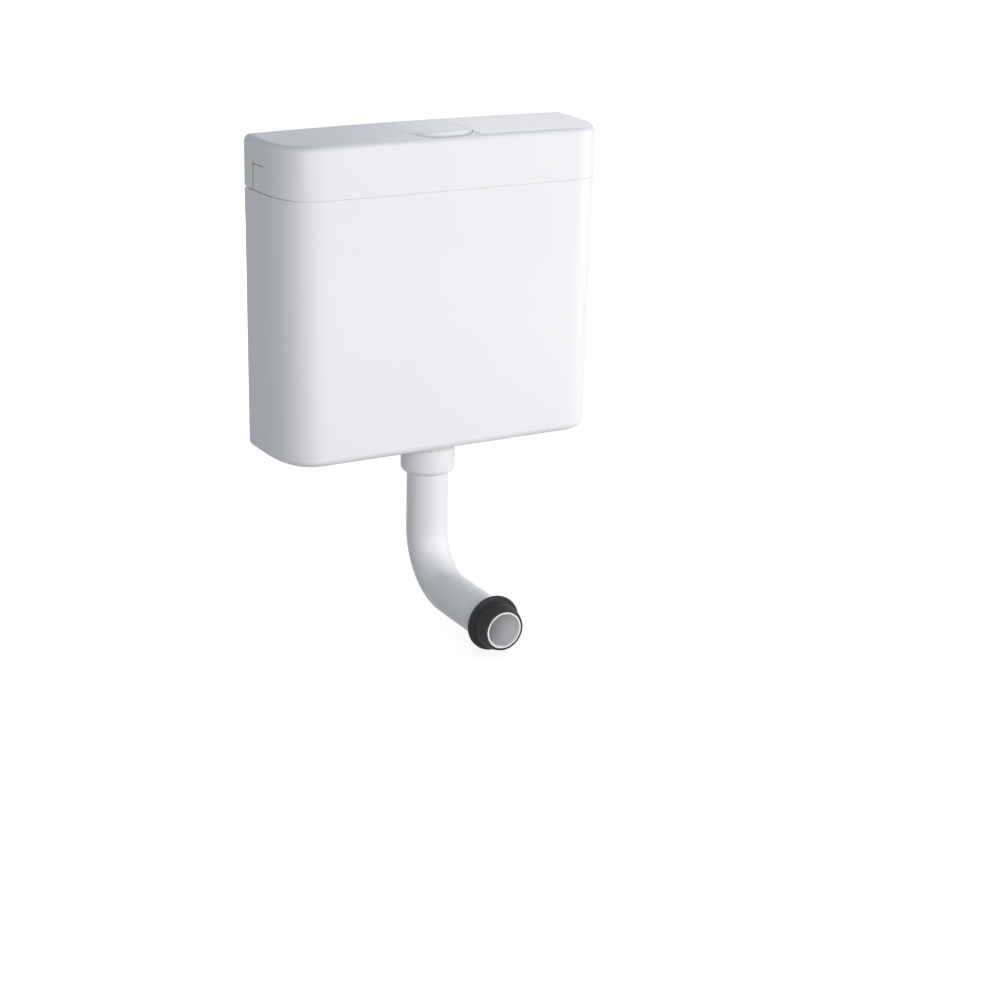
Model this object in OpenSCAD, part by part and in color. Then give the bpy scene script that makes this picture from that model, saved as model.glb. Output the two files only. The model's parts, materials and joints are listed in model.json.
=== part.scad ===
// Low-level wall cistern in moulded plastic, with a tilting flush key in its lid.
// The origin lies on the wall plane, midway between the two wall fixing holes.
// X runs to the right seen from the front, -Y out of the wall, Z up. Millimetres.

/* [Tank] */
// Width of the tank and the lid
tank_w = 415; // [400:1:450]
// Depth of the tank and the lid, from the wall to the front
tank_d = 112; // [110:1:125]
// Height of the tank from its underside to the seam under the lid
tank_h = 307; // [280:1:340]
// Wall thickness of the tank
tank_wall = 3; // [2.5:0.5:4]
// How far each side of the tank draws in from the seam to the floor
tank_taper = 1.5; // [0:0.5:4]
// Rounding of the tank's lower edge
floor_round = 10; // [6:1:14]
// Length of a front corner's curve along the front
corner_x = 50; // [30:1:60]
// Straight length of each side, from the wall to the front corner's curve
side_straight = 27; // [24:1:52]
// Squareness of a front corner, where 2 is an ellipse
corner_power = 2.6; // [2:0.1:4]
// Height of the seam above the wall fixing holes
seam_z = 20; // [18:1:30]
// Height of the collar that rises inside the lid
collar_h = 34; // [32:1:38]
// Thickness of the foam lining
liner_t = 4; // [3:0.5:6]

/* [Wall fixing] */
// Distance between the two fixing holes
fixing_pitch = 200; // [150:1:205]
// Diameter of a fixing hole
fixing_d = 8.5; // [6.5:0.5:10]
// Diameter of the stiffening pad round a fixing hole
fixing_pad_d = 28; // [22:1:30]
// Thickness of that pad, from the wall plane
fixing_pad_t = 8; // [6:0.5:10]

/* [Lid] */
// Height of the lid's top above the seam
lid_rise = 61; // [61:1:75]
// Wall thickness of the lid
lid_wall = 3; // [2.5:0.5:3.5]
// Shadow gap between the lid's edge and the tank
seam_gap = 1.2; // [0.8:0.1:2]
// Gap between the lid and the collar inside it
collar_gap = 0.5; // [0.4:0.1:1]
// Rounding of the lid's top edge
lid_round = 8; // [6:0.5:9]
// How much higher the lid is in the middle than at its ends
lid_crown = 2; // [0:0.5:3]
// Distance from the wall to the side tab
tab_back = 24; // [22:1:26]
// Width of the side tab
tab_w = 27; // [26.5:0.5:30]
// Height of the side tab above the seam
tab_h = 30.5; // [29.5:0.5:31.5]
// Width of the slit round the side tab
slit_w = 0.8; // [0.5:0.1:1.2]
// Chamfer at the lid's lower rear corners
rear_chamfer = 2.5; // [1:0.5:4]

/* [Flush key] */
// Width of the key
key_w = 78; // [70:1:84]
// Length of the key from back to front
key_len = 61; // [58:1:62]
// Radius of the key's front corners
key_corner = 27; // [15:1:30]
// How far the key's front lip stands over the lid
key_lip = 3; // [1:0.5:4]
// Wall thickness of the key
key_wall = 2.5; // [2:0.5:3]
// Gap round the key in the lid
key_gap = 0.6; // [0.5:0.1:0.8]
// Diameter of the key's hinge pin
key_pin_d = 4; // [3:0.5:4]
// Diameter of the push screw under the key
push_d = 6; // [5:0.5:6]

/* [Flush valve] */
// Distance of the outlet's axis from the wall
outlet_y = 55; // [53:1:57]
// Outside diameter of the flush pipe
pipe_d = 50; // [45:1:52]
// Wall thickness of the flush pipe
pipe_wall = 2.2; // [1.8:0.1:3]
// Length of the straight pipe below the coupling nut
pipe_drop = 72; // [50:1:150]
// Radius of the pipe's bend at its centre line
bend_r = 65; // [50:1:90]
// Length of the straight pipe in front of the bend
pipe_run = 85; // [60:1:150]
// Outside diameter of the coupling nut
nut_d = 65; // [63:0.5:70]
// Height of the coupling nut
nut_h = 31; // [26:1:36]
// Outside diameter of the outlet spigot
spigot_d = 59; // [57:0.5:59]
// Length of the spigot below the tank
spigot_len = 22; // [18:1:23]
// Outside diameter of the overflow tube
overflow_d = 22; // [20:1:23]
// Depth of the overflow's rim below the wall fixing holes
overflow_drop = 30; // [26:1:45]
// Diameter of the valve cage
cage_d = 76; // [76:1:80]
// Diameter of the lift rod
rod_d = 6; // [5:0.5:6]
// Diameter of the lift lever's pin
lever_pin_d = 5; // [4:0.5:5]
// Distance from the push screw to the lift lever's pivot
push_arm = 14; // [12:0.5:15]

/* [Fill valve] */
// Outside diameter of the threaded tail
tail_d = 16.66; // [14:0.02:17]
// How far the tail stands out of the lid's side
tail_out = 14.5; // [12:0.5:20]
// Width across the flats of the tail's back nut
tail_nut_af = 22; // [20:0.5:22]
// Distance from the tank's inside wall to the valve's column
head_in = 49.5; // [45:0.5:55]
// Diameter of the valve head
head_d = 32; // [30:1:34]
// Outside diameter of the column that the float slides on
column_d = 20; // [18:1:22]
// Length of that column below the head
column_len = 124; // [115:1:140]
// Travel of the float
float_travel = 15; // [10:0.5:15]
// Length of the float along the tank
float_w = 76; // [72:1:80]
// Width of the float from back to front
float_d = 55; // [40:1:55]
// Height of the float
float_h = 50; // [35:1:55]
// Distance from the float lever's pivot to the float rod
float_arm = 30; // [28:1:32]
// Distance from the float lever's pivot to the pilot plunger
pilot_arm = 5; // [4:0.5:6]

/* [Hidden] */
$fn = 64;
eps = 0.01;

// How far a cutting shape runs past the face it cuts, and a joined one into its neighbour
over = 1;

// Clearances
seat_gap = 0.3;
running_gap = 0.05;
slip_gap = 0.2;
guide_gap = 0.4;

// Levels, from the floor to the lid
floor_z = seam_z - tank_h;
floor_in_z = floor_z + tank_wall;
collar_z = seam_z + collar_h;
lid_z = seam_z + lid_rise;
lid_in_z = lid_z - lid_wall;
collar_inset = lid_wall + collar_gap;
collar_bore_inset = collar_inset + tank_wall;
shoulder_t = 3;
liner_drop = 6;
liner_z = -fixing_pad_d / 2 - liner_drop;

// Front corners of the plan outline, and steps of the curves drawn in straight pieces
corner_y = tank_d - side_straight;
corner_steps = 14;
round_steps = 4;
curve_steps = 8;

// Flush key and what it pushes
key_land = 4.5;
key_front = tank_d - lid_round - key_land;
key_back = key_front - key_len;
key_hinge_in = 3.5;
key_hinge_y = key_back + key_hinge_in;
key_hinge_drop = 9;
key_hinge_z = lid_z - key_hinge_drop;
key_skirt = 8;
key_skirt_z = lid_z - key_skirt;
key_rise_len = 36;
key_rise_y = key_front - key_rise_len;
key_rake = 1;
key_sweep = 1.1;
key_ear_t = 4;
key_ear_wall = 3;
key_ear_r = key_pin_d / 2 + key_ear_wall;
key_ear_back = 3;
push_in = 7.5;
push_y = key_front - push_in;
push_boss_drop = 15;
push_boss_z = lid_z - push_boss_drop;
push_boss_wall = 3.5;
push_boss_r = push_d / 2 + push_boss_wall;
push_top_drop = 4;

// Frame that carries the key
frame_wall = 2.5;
frame_room = 2;
frame_front_room = 2.7;
frame_top_gap = 1.2;
frame_side = key_w / 2 + frame_room;
frame_front = key_front + frame_front_room;
frame_back = key_back - frame_room;
frame_h = 15;
frame_z = lid_z - frame_h;
frame_lug_t = 3;
frame_lug_drop = 14;
frame_lug_z = lid_z - frame_lug_drop;
frame_lug_out = 6;
frame_lug_x = frame_side + frame_wall + frame_lug_out;
frame_lug_back = 9;
frame_lug_front = 12;
frame_lug_y = [key_back + frame_lug_back, key_front - frame_lug_front];
frame_lug_d = 12;
screw_d = 3.8;
screw_head_d = 8;
screw_head_h = 2.5;
screw_len = 9;
screw_boss_d = 10;

// Bridge and lift lever
bridge_h = 10;
bridge_in = 14;
bridge_t = 4;
bridge_side_gap = 0.5;
bridge_notch = bridge_in + bridge_t + bridge_side_gap;
lever_drop = 7;
lever_z = collar_z - lever_drop;
lever_side_gap = 1;
lever_hub_wall = 3;
lever_pin_out = 1.5;
lever_y = push_y - push_arm;
lever_t = 6;
lever_half = bridge_in - lever_side_gap;
lift_arm = lever_y - outlet_y;
lift_gap = 0.6;
fork_gap = 1.5;
fork_in = rod_d / 2 + fork_gap;
fork_t = 5;
push_pad_w = 16;
push_pad_reach = 6;
push_gap = 0.4;
push_tip_z = lever_z + lever_t / 2 + push_gap + push_d / 2;
locknut_af = 10;
locknut_t = 4;

// Flush valve
gasket_t = 3;
gasket_in = 1;
liner_hole_gap = 1;
seat_flange_t = 4;
seat_flange_r = cage_d / 2;
seat_z = floor_in_z + gasket_t;
seat_top_z = seat_z + seat_flange_t;
seat_lip_h = 7;
seat_lip_z = seat_top_z + seat_lip_h;
spigot_wall = 5;
outlet_bore_r = spigot_d / 2 - spigot_wall;
seat_lip_t = 3;
cage_wall = 3.5;
cage_window = 36;
cage_h = 72;
cage_z = seat_top_z + cage_h;
cage_base_h = 5;
cage_top_t = 4;
cage_head_h = 6;
cage_guide_h = 16;
cage_guide_wall = 3;
seal_t = 3;
seal_side_gap = 1.5;
seal_r = cage_d / 2 - cage_wall - seal_side_gap;
seal_z = seat_lip_z + seat_gap;
foot_z = seal_z + seal_t;
foot_t = 5;
foot_in = 3;
foot_r = seal_r - foot_in;
foot_hub_h = 12;
foot_hub_wall = 3;
valve_float_gap = 2;
valve_float_z = foot_z + foot_hub_h + valve_float_gap;
valve_float_h = 30;
valve_float_in = 2;
valve_float_r = seal_r - valve_float_in;
valve_float_wall = 2;
overflow_z = -overflow_drop;
overflow_wall = 1.5;
overflow_foot = 2;
lift_collar_z = lever_z + lever_t / 2 + lift_gap;
lift_collar_h = 5;
lift_collar_over = 0.5;
lift_collar_r = fork_in + fork_t + lift_collar_over;
lift_rod_out = 2.5;
lift_rod_z = lift_collar_z + lift_collar_h + lift_rod_out;
rod_fin_h = 14;
rod_fin_t = 2;
rod_cap_h = 4;

// Outlet below the floor
back_nut_h = 9;
nut_clear = 1;
nut_z = floor_z - back_nut_h - nut_clear;
nut_low_z = nut_z - nut_h;
nut_round = 7;
spigot_z = floor_z - spigot_len;
thread_gap = 0.2;
pipe_top_gap = 0.5;
pipe_top_z = spigot_z - pipe_top_gap;
cone_seal_drop = 2;
bend_z = nut_low_z - pipe_drop;
bend_y = outlet_y + bend_r;
run_z = bend_z - bend_r;
run_end = bend_y + pipe_run;
tip_step = 3;
tip_r = pipe_d / 2 - tip_step;
tip_taper = 10;
tip_len = 32;
cone_r = 27.5;
cone_flange_r = 33;
cone_flange_t = 4;
cone_grip = 14;
cone_nose = 10;
cone_nose_wall = 2.5;
cone_nose_r = tip_r + cone_nose_wall;

// Fill valve, along the supply's axis
supply_y = tab_back + tab_w / 2;
supply_rise = 15.5;
supply_z = seam_z + supply_rise;
collar_out_x = tank_w / 2 - collar_inset;
supply_pad_t = 1.5;
supply_pad_x = tank_w / 2 - collar_bore_inset - supply_pad_t;
supply_pad_r = 15;
supply_cut = 10;
supply_hole_r = tail_d / 2 + seat_gap;
washer_t = 2;
washer_r = 13;
flange_r = 12.5;
flange_t = 3;
flange_x = supply_pad_x - washer_t;
tail_x = tank_w / 2 + tail_out;
tail_bore_r = 5.5;
tail_nut_t = 7;
tail_nut_land = 0.45;
tail_free_x = collar_out_x + running_gap + tail_nut_t + tail_nut_land;
tail_relief = 0.2;
strainer_len = 12;
strainer_wall = 1;
plug_grip_t = 3;
plug_grip_h = 20;
plug_grip_out = 8;
head_x = supply_pad_x - head_in;
head_low = 11.5;
head_z = supply_z - head_low;
head_high = 8.5;
head_top_z = supply_z + head_high;
head_wall = 2;
diaphragm_t = 1.8;
diaphragm_recess = 2;
diaphragm_recess_r = head_d / 2 - head_wall;
cap_t = 7;
cap_z = head_top_z + cap_t;
column_z = head_z - column_len;
column_wall = 2.8;
column_bore_r = column_d / 2 - column_wall;
stop_out = 3;
stop_r = column_d / 2 + stop_out;
stop_h = 4;
drop_tube_r = column_bore_r - slip_gap;
drop_tube_wall = 1.2;
drop_tube_foot = 22;
drop_tube_z = floor_in_z + drop_tube_foot;
drop_tube_in = 15;

// Float, its rod and its lever
lever_half_angle = float_travel / float_arm / 2 * 180 / PI;
float_lever_t = 4;
float_lever_w = 8;
float_lever_x = head_x - pilot_arm;
float_lever_rise = 7;
float_lever_z = cap_z + float_lever_rise;
float_lever_side_gap = 0.5;
float_lever_hub_wall = 2;
float_lever_end = 2.5;
float_lever_nose = 1;
float_pin_out = 1;
float_rod_d = 4;
float_rod_x = float_lever_x - float_arm * (1 + cos(lever_half_angle)) / 2;
float_rod_end_z = float_lever_z - float_arm * sin(lever_half_angle);
float_low_z = column_z + stop_h + seat_gap;
float_top_z = float_low_z + float_h;
float_wall = 2;
float_round = 12;
float_rod_in = 10;
float_left = float_rod_x - float_rod_in;
float_sleeve_r = column_d / 2 + guide_gap + float_wall;
rod_boss_r = 5;
rod_socket = 10;
rod_socket_floor = 2;
rod_out = 2;
clip_r = 5;
clip_t = 3;
clip_slack = 0.6;
clip_gap = float_lever_t / 2 / cos(lever_half_angle) + clip_r * tan(lever_half_angle) + clip_slack;
slot_slack = 1.6;
slot_reach = float_rod_d / 2 + slot_slack;
float_pin_d = 3;
ear_t = 3;
ear_r = 4;
plunger_r = 2;
plunger_reach = float_lever_t / 2 + plunger_r + seat_gap;
plunger_tip_z = float_lever_z + pilot_arm * tan(lever_half_angle) - plunger_reach / cos(lever_half_angle);
plunger_travel = 2 * pilot_arm * tan(lever_half_angle);
plunger_low_z = head_top_z + plunger_travel + seat_gap;
plunger_seal_t = 1.5;
plunger_seal_r = 3.6;
plunger_room_z = plunger_low_z + plunger_seal_t + guide_gap;

// Lid ribs that rest on the collar, as distances from the middle
back_ribs = [60, 165];
front_ribs = [110];
rib_t = 2.5;
rib_in = 10;

// Strips that crown the lid, and the run of the rear chamfer along the corner
crown_strip = 1;
chamfer_run = 14;

shell_white = [0.93, 0.94, 0.96];
part_white = [0.90, 0.91, 0.92];
foam_white = [0.96, 0.96, 0.94];
valve_grey = [0.62, 0.65, 0.68];
valve_blue = [0.22, 0.38, 0.62];
valve_green = [0.25, 0.55, 0.42];
rubber_grey = [0.28, 0.28, 0.30];
rubber_red = [0.62, 0.20, 0.16];
steel = [0.75, 0.76, 0.78];

// Plan outline of the tank and the lid, drawn in by inset at the sides and the front
function corner_point(t, inset) = [
    tank_w / 2 - corner_x + (corner_x - inset) * pow(cos(t), 2 / corner_power),
    -(side_straight + (corner_y - inset) * pow(sin(t), 2 / corner_power))
];
function plan(inset, back) = concat(
    [[tank_w / 2 - inset, -back]],
    [for (i = [0 : corner_steps]) corner_point(90 * i / corner_steps, inset)],
    [for (i = [corner_steps : -1 : 0])
        [-corner_point(90 * i / corner_steps, inset)[0], corner_point(90 * i / corner_steps, inset)[1]]],
    [[-(tank_w / 2 - inset), -back]]
);

// Half outline of a round-tipped rod that stands on its tip, with the tip's centre at zero
function rod_outline(r, length) = concat(
    [[0, -r]],
    [for (i = [1 : curve_steps])
        [r * sin(90 * i / curve_steps), -r * cos(90 * i / curve_steps)]],
    [[r, length], [0, length]]
);

// Draw-in of the tank's side at a level
function taper_at(z) = tank_taper * (seam_z - z) / tank_h;

// Plan outline of the key, grown by a margin, with round front corners
function key_plan(margin, front) = concat(
    [[-key_w / 2 - margin, -key_back + margin], [-key_w / 2 - margin, -front - margin + key_corner]],
    [for (i = [1 : curve_steps])
        let (a = 180 + 90 * i / curve_steps)
        [-key_w / 2 - margin + key_corner * (1 + cos(a)), -front - margin + key_corner * (1 + sin(a))]],
    [for (i = [0 : curve_steps])
        let (a = 270 + 90 * i / curve_steps)
        [key_w / 2 + margin - key_corner * (1 - cos(a)), -front - margin + key_corner * (1 + sin(a))]],
    [[key_w / 2 + margin, -key_back + margin]]
);

// Side view of the key's top, level at the back and rising to the front lip, lowered by drop
function key_top(drop) = concat(
    [[-key_back + over, frame_z], [-key_back + over, lid_z - drop], [-key_rise_y, lid_z - drop]],
    [for (i = [1 : curve_steps])
        let (s = i / curve_steps)
        [-key_rise_y - s * (key_front - key_rake - key_rise_y), lid_z - drop + key_lip * s * s]],
    [[-key_front, key_skirt_z], [-key_front, frame_z]]
);

module slab(inset, back, z) {
    translate([0, 0, z])
        linear_extrude(eps)
            polygon(plan(inset, back));
}

module prism(inset, back, low, high) {
    translate([0, 0, low])
        linear_extrude(high - low)
            polygon(plan(inset, back));
}

module tube(outer, inner, low, high) {
    difference() {
        translate([0, 0, low])
            cylinder(h = high - low, r = outer);
        translate([0, 0, low - over])
            cylinder(h = high - low + 2 * over, r = inner);
    }
}

module along_x(r, x0, x1) {
    translate([x0, 0, 0])
        rotate([0, 90, 0])
            cylinder(h = x1 - x0, r = r);
}

module along_y(r, y0, y1) {
    translate([0, y0, 0])
        rotate([-90, 0, 0])
            cylinder(h = y1 - y0, r = r);
}

module at_outlet() {
    translate([0, -outlet_y, 0])
        children();
}

module at_supply() {
    translate([0, -supply_y, supply_z])
        children();
}

module at_head() {
    translate([head_x, -supply_y, 0])
        children();
}

module round_block(w, d, r, low, high) {
    translate([0, 0, low]) {
        translate([-w / 2 + r, -d / 2, 0])
            cube([w - 2 * r, d, high - low]);
        translate([-w / 2, -d / 2 + r, 0])
            cube([w, d - 2 * r, high - low]);
        for (x = [-1, 1])
            for (y = [-1, 1])
                translate([x * (w / 2 - r), y * (d / 2 - r), 0])
                    cylinder(h = high - low, r = r);
    }
}

// Tank form inset by a wall, from the floor's level to a top level
module tank_form(inset, back, low, high, edge_round) {
    hull() {
        for (i = [0 : round_steps])
            let (a = 90 * i / round_steps, z = low + edge_round * (1 - sin(a)))
            slab(inset + taper_at(z) + edge_round * (1 - cos(a)), back, z);
        slab(inset + taper_at(high), back, high - eps);
    }
}

module cistern_body() {
    color(shell_white)
        difference() {
            union() {
                tank_form(0, 0, floor_z, seam_z, floor_round);
                prism(collar_inset, collar_inset, seam_z - over, collar_z);
            }
            difference() {
                union() {
                    hull() {
                        tank_form_inside(seam_z - shoulder_t - collar_inset);
                        slab(collar_bore_inset, collar_bore_inset, seam_z - shoulder_t - eps);
                    }
                    prism(collar_bore_inset, collar_bore_inset, seam_z - shoulder_t - over,
                        collar_z + over);
                }
                for (side = [-1, 1]) {
                    translate([side * fixing_pitch / 2, 0, 0])
                        along_y(fixing_pad_d / 2, -fixing_pad_t, 0);
                    at_supply()
                        translate([side * (supply_pad_x + collar_out_x) / 2, 0, 0])
                            along_x(supply_pad_r, -(collar_out_x - supply_pad_x) / 2,
                                (collar_out_x - supply_pad_x) / 2);
                }
            }
            for (side = [-1, 1]) {
                translate([side * fixing_pitch / 2, 0, 0])
                    along_y(fixing_d / 2, -fixing_pad_t - over, over);
                at_supply()
                    translate([side * collar_out_x, 0, 0])
                        along_x(supply_hole_r, -supply_cut, supply_cut);
            }
            at_outlet()
                translate([0, 0, floor_z - over])
                    cylinder(h = tank_wall + 2 * over, r = spigot_d / 2 + slip_gap);
            translate([-bridge_notch, -tank_d - over, collar_z - bridge_h - slip_gap])
                cube([2 * bridge_notch, tank_d + 2 * over, bridge_h + 2 * over]);
        }
}

module tank_form_inside(high) {
    for (i = [0 : round_steps])
        let (a = 90 * i / round_steps, r = floor_round - tank_wall, z = floor_in_z + r * (1 - sin(a)))
        slab(tank_wall + taper_at(z) + r * (1 - cos(a)), tank_wall, z);
    slab(tank_wall + taper_at(high), tank_wall, high);
}

module insulation_liner() {
    outer = tank_wall + seat_gap;
    inner = outer + liner_t;
    color(foam_white)
        difference() {
            tank_form(outer, outer, floor_in_z + eps, liner_z, floor_round - tank_wall);
            tank_form(inner, inner, floor_in_z + liner_t, liner_z + over, floor_round - tank_wall);
            at_outlet()
                translate([0, 0, floor_in_z - over])
                    cylinder(h = liner_t + 2 * over, r = seat_flange_r + liner_hole_gap);
        }
}

module outlet_seat() {
    color(part_white)
        at_outlet()
            difference() {
                union() {
                    translate([0, 0, seat_z])
                        cylinder(h = seat_flange_t, r = seat_flange_r);
                    translate([0, 0, seat_top_z - over])
                        cylinder(h = seat_lip_h + over, r = outlet_bore_r + seat_lip_t);
                    translate([0, 0, spigot_z])
                        cylinder(h = seat_z - spigot_z + over, r = spigot_d / 2);
                }
                translate([0, 0, spigot_z - over])
                    cylinder(h = seat_lip_z - spigot_z + 2 * over, r = outlet_bore_r);
            }
}

module outlet_gasket() {
    color(rubber_grey)
        at_outlet()
            tube(seat_flange_r - gasket_in, spigot_d / 2 + slip_gap, floor_in_z, seat_z);
}

module outlet_back_nut() {
    color(part_white)
        at_outlet()
            tube(nut_d / 2, spigot_d / 2 + thread_gap, floor_z - back_nut_h, floor_z);
}

module coupling_nut() {
    r = nut_d / 2;
    color(shell_white)
        at_outlet()
            difference() {
                rotate_extrude()
                    polygon(concat(
                        [[0, nut_z], [r, nut_z], [r, nut_low_z + nut_round]],
                        [for (i = [1 : curve_steps])
                            let (a = 90 * i / curve_steps)
                            [r - nut_round * (1 - cos(a)), nut_low_z + nut_round * (1 - sin(a))]],
                        [[0, nut_low_z]]
                    ));
                translate([0, 0, nut_low_z + nut_round])
                    cylinder(h = nut_h, r = spigot_d / 2 + thread_gap);
                translate([0, 0, nut_low_z - over])
                    cylinder(h = nut_h, r = pipe_d / 2 + seat_gap);
            }
}

module cone_seal() {
    color(rubber_grey)
        at_outlet()
            tube(spigot_d / 2, pipe_d / 2 + running_gap, nut_low_z + nut_round, pipe_top_z - cone_seal_drop);
}

module pipe_way(r, tip) {
    at_outlet()
        translate([0, 0, bend_z])
            cylinder(h = pipe_top_z - bend_z, r = r);
    translate([0, -bend_y, bend_z])
        rotate([-90, 0, 90])
            rotate_extrude(angle = 90)
                translate([bend_r, 0])
                    circle(r = r);
    translate([0, 0, run_z]) {
        along_y(r, -run_end, -bend_y);
        translate([0, -run_end, 0])
            rotate([90, 0, 0])
                cylinder(h = tip_taper, r1 = r, r2 = tip);
        along_y(tip, -run_end - tip_taper - tip_len, -run_end - tip_taper);
    }
}

module flush_bend() {
    color(shell_white)
        difference() {
            pipe_way(pipe_d / 2, tip_r);
            pipe_way(pipe_d / 2 - pipe_wall, tip_r - pipe_wall);
            at_outlet()
                translate([0, 0, pipe_top_z - over])
                    cylinder(h = 2 * over, r = pipe_d / 2 - pipe_wall);
            translate([0, 0, run_z])
                along_y(tip_r - pipe_wall, -run_end - tip_taper - tip_len - over, -run_end - tip_taper);
        }
}

module flush_cone() {
    end = run_end + tip_taper + tip_len;
    start = end - cone_flange_t - cone_grip - cone_nose;
    color(rubber_grey)
        translate([0, 0, run_z])
            difference() {
                union() {
                    along_y(cone_flange_r, -start - cone_flange_t, -start);
                    along_y(cone_r, -start - cone_flange_t - cone_grip, -start - cone_flange_t);
                    translate([0, -start - cone_flange_t - cone_grip, 0])
                        rotate([90, 0, 0])
                            cylinder(h = cone_nose, r1 = cone_r, r2 = cone_nose_r);
                }
                along_y(tip_r + running_gap, -end - over, -start + over);
            }
}

module valve_cage() {
    color(valve_grey)
        at_outlet()
            difference() {
                union() {
                    tube(cage_d / 2, cage_d / 2 - cage_wall, seat_top_z, cage_z);
                    translate([0, 0, cage_z - cage_top_t])
                        cylinder(h = cage_top_t, r = cage_d / 2);
                    translate([0, 0, cage_z - over])
                        cylinder(h = cage_guide_h + over, r = overflow_d / 2 + guide_gap + cage_guide_wall);
                }
                for (a = [0, 90])
                    rotate([0, 0, a])
                        translate([-cage_d, -cage_window / 2, seat_top_z + cage_base_h])
                            cube([2 * cage_d, cage_window, cage_h - cage_base_h - cage_top_t - cage_head_h]);
                translate([0, 0, cage_z - cage_top_t - over])
                    cylinder(h = cage_guide_h + cage_top_t + 2 * over, r = overflow_d / 2 + guide_gap);
            }
}

module lever_bridge() {
    back = collar_inset + seat_gap;
    front = tank_d - collar_inset - seat_gap;
    color(valve_grey)
        difference() {
            union() {
                for (side = [-1, 1])
                    translate([side * (bridge_in + bridge_t / 2) - bridge_t / 2, -front, collar_z - bridge_h])
                        cube([bridge_t, front - back, bridge_h]);
                for (y = [-front, -back - tank_wall - bridge_t])
                    translate([-bridge_in - over, y, collar_z - bridge_h])
                        cube([2 * (bridge_in + over), tank_wall + bridge_t, bridge_h]);
            }
            translate([0, -lever_y, lever_z])
                along_x(lever_pin_d / 2 + running_gap, -tank_w, tank_w);
        }
}

module lever_pin() {
    reach = bridge_in + bridge_t + lever_pin_out;
    color(steel)
        translate([0, -lever_y, lever_z])
            along_x(lever_pin_d / 2, -reach, reach);
}

module lift_lever() {
    color(valve_blue)
        translate([0, -lever_y, lever_z])
            difference() {
                union() {
                    along_x(lever_pin_d / 2 + lever_hub_wall, -lever_half, lever_half);
                    translate([-push_pad_w / 2, -push_arm - push_pad_reach, -lever_t / 2])
                        cube([push_pad_w, push_arm + push_pad_reach, lever_t]);
                    for (side = [-1, 1])
                        translate([side * (fork_in + fork_t / 2), 0, 0]) {
                            translate([-fork_t / 2, 0, -lever_t / 2])
                                cube([fork_t, lift_arm, lever_t]);
                            translate([0, lift_arm, 0])
                                along_x(lever_t / 2, -fork_t / 2, fork_t / 2);
                        }
                }
                along_x(lever_pin_d / 2 + running_gap, -tank_w, tank_w);
            }
}

module overflow_tube() {
    color(part_white)
        at_outlet()
            tube(overflow_d / 2, overflow_d / 2 - overflow_wall, seal_z - overflow_foot, overflow_z);
}

module valve_foot() {
    color(valve_blue)
        at_outlet()
            difference() {
                union() {
                    translate([0, 0, foot_z])
                        cylinder(h = foot_t, r = foot_r);
                    translate([0, 0, foot_z])
                        cylinder(h = foot_hub_h, r = overflow_d / 2 + foot_hub_wall);
                }
                translate([0, 0, foot_z - over])
                    cylinder(h = foot_hub_h + 2 * over, r = overflow_d / 2 + running_gap);
            }
}

module seal_disc() {
    color(rubber_red)
        at_outlet()
            tube(seal_r, overflow_d / 2 + running_gap, seal_z, foot_z);
}

module valve_float() {
    color(part_white)
        at_outlet()
            difference() {
                tube(valve_float_r, overflow_d / 2 + running_gap, valve_float_z, valve_float_z + valve_float_h);
                tube(valve_float_r - valve_float_wall, overflow_d / 2 + valve_float_wall, valve_float_z - over,
                    valve_float_z + valve_float_h - valve_float_wall);
            }
}

module lift_rod() {
    color(part_white)
        at_outlet() {
            translate([0, 0, overflow_z - rod_fin_h])
                cylinder(h = lift_rod_z - overflow_z + rod_fin_h, r = rod_d / 2);
            for (a = [0, 120, 240])
                rotate([0, 0, a]) {
                    translate([0, -rod_fin_t / 2, overflow_z - rod_fin_h])
                        cube([overflow_d / 2 - overflow_wall - slip_gap, rod_fin_t, rod_fin_h + rod_cap_h]);
                    translate([0, -rod_fin_t / 2, overflow_z])
                        cube([overflow_d / 2, rod_fin_t, rod_cap_h]);
                }
        }
}

module lift_collar() {
    color(valve_green)
        at_outlet()
            tube(lift_collar_r, rod_d / 2 + running_gap, lift_collar_z, lift_collar_z + lift_collar_h);
}

// Lid form inset by a wall, with a rounded upper edge and a crowned top
module lid_form(inset, back, low, top, edge_round) {
    half = tank_w / 2 - inset - edge_round;
    hull() {
        slab(inset, back, low);
        for (i = [0 : round_steps])
            let (a = 90 * i / round_steps)
            slab(inset + edge_round * (1 - cos(a)), back, top - lid_crown - edge_round * (1 - sin(a)) - eps);
        for (s = [-0.75, -0.5, -0.25, 0, 0.25, 0.5, 0.75])
            translate([s * half - crown_strip / 2, -(tank_d - inset - edge_round),
                top - lid_crown * s * s - eps])
                cube([crown_strip, tank_d - inset - edge_round - back, eps]);
    }
}

module lid_ribs(places, near, far) {
    for (x = places)
        for (side = [-1, 1])
            translate([side * x - rib_t / 2, far, collar_z + seat_gap])
                cube([rib_t, near - far, lid_in_z - lid_crown - collar_z]);
}

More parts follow.
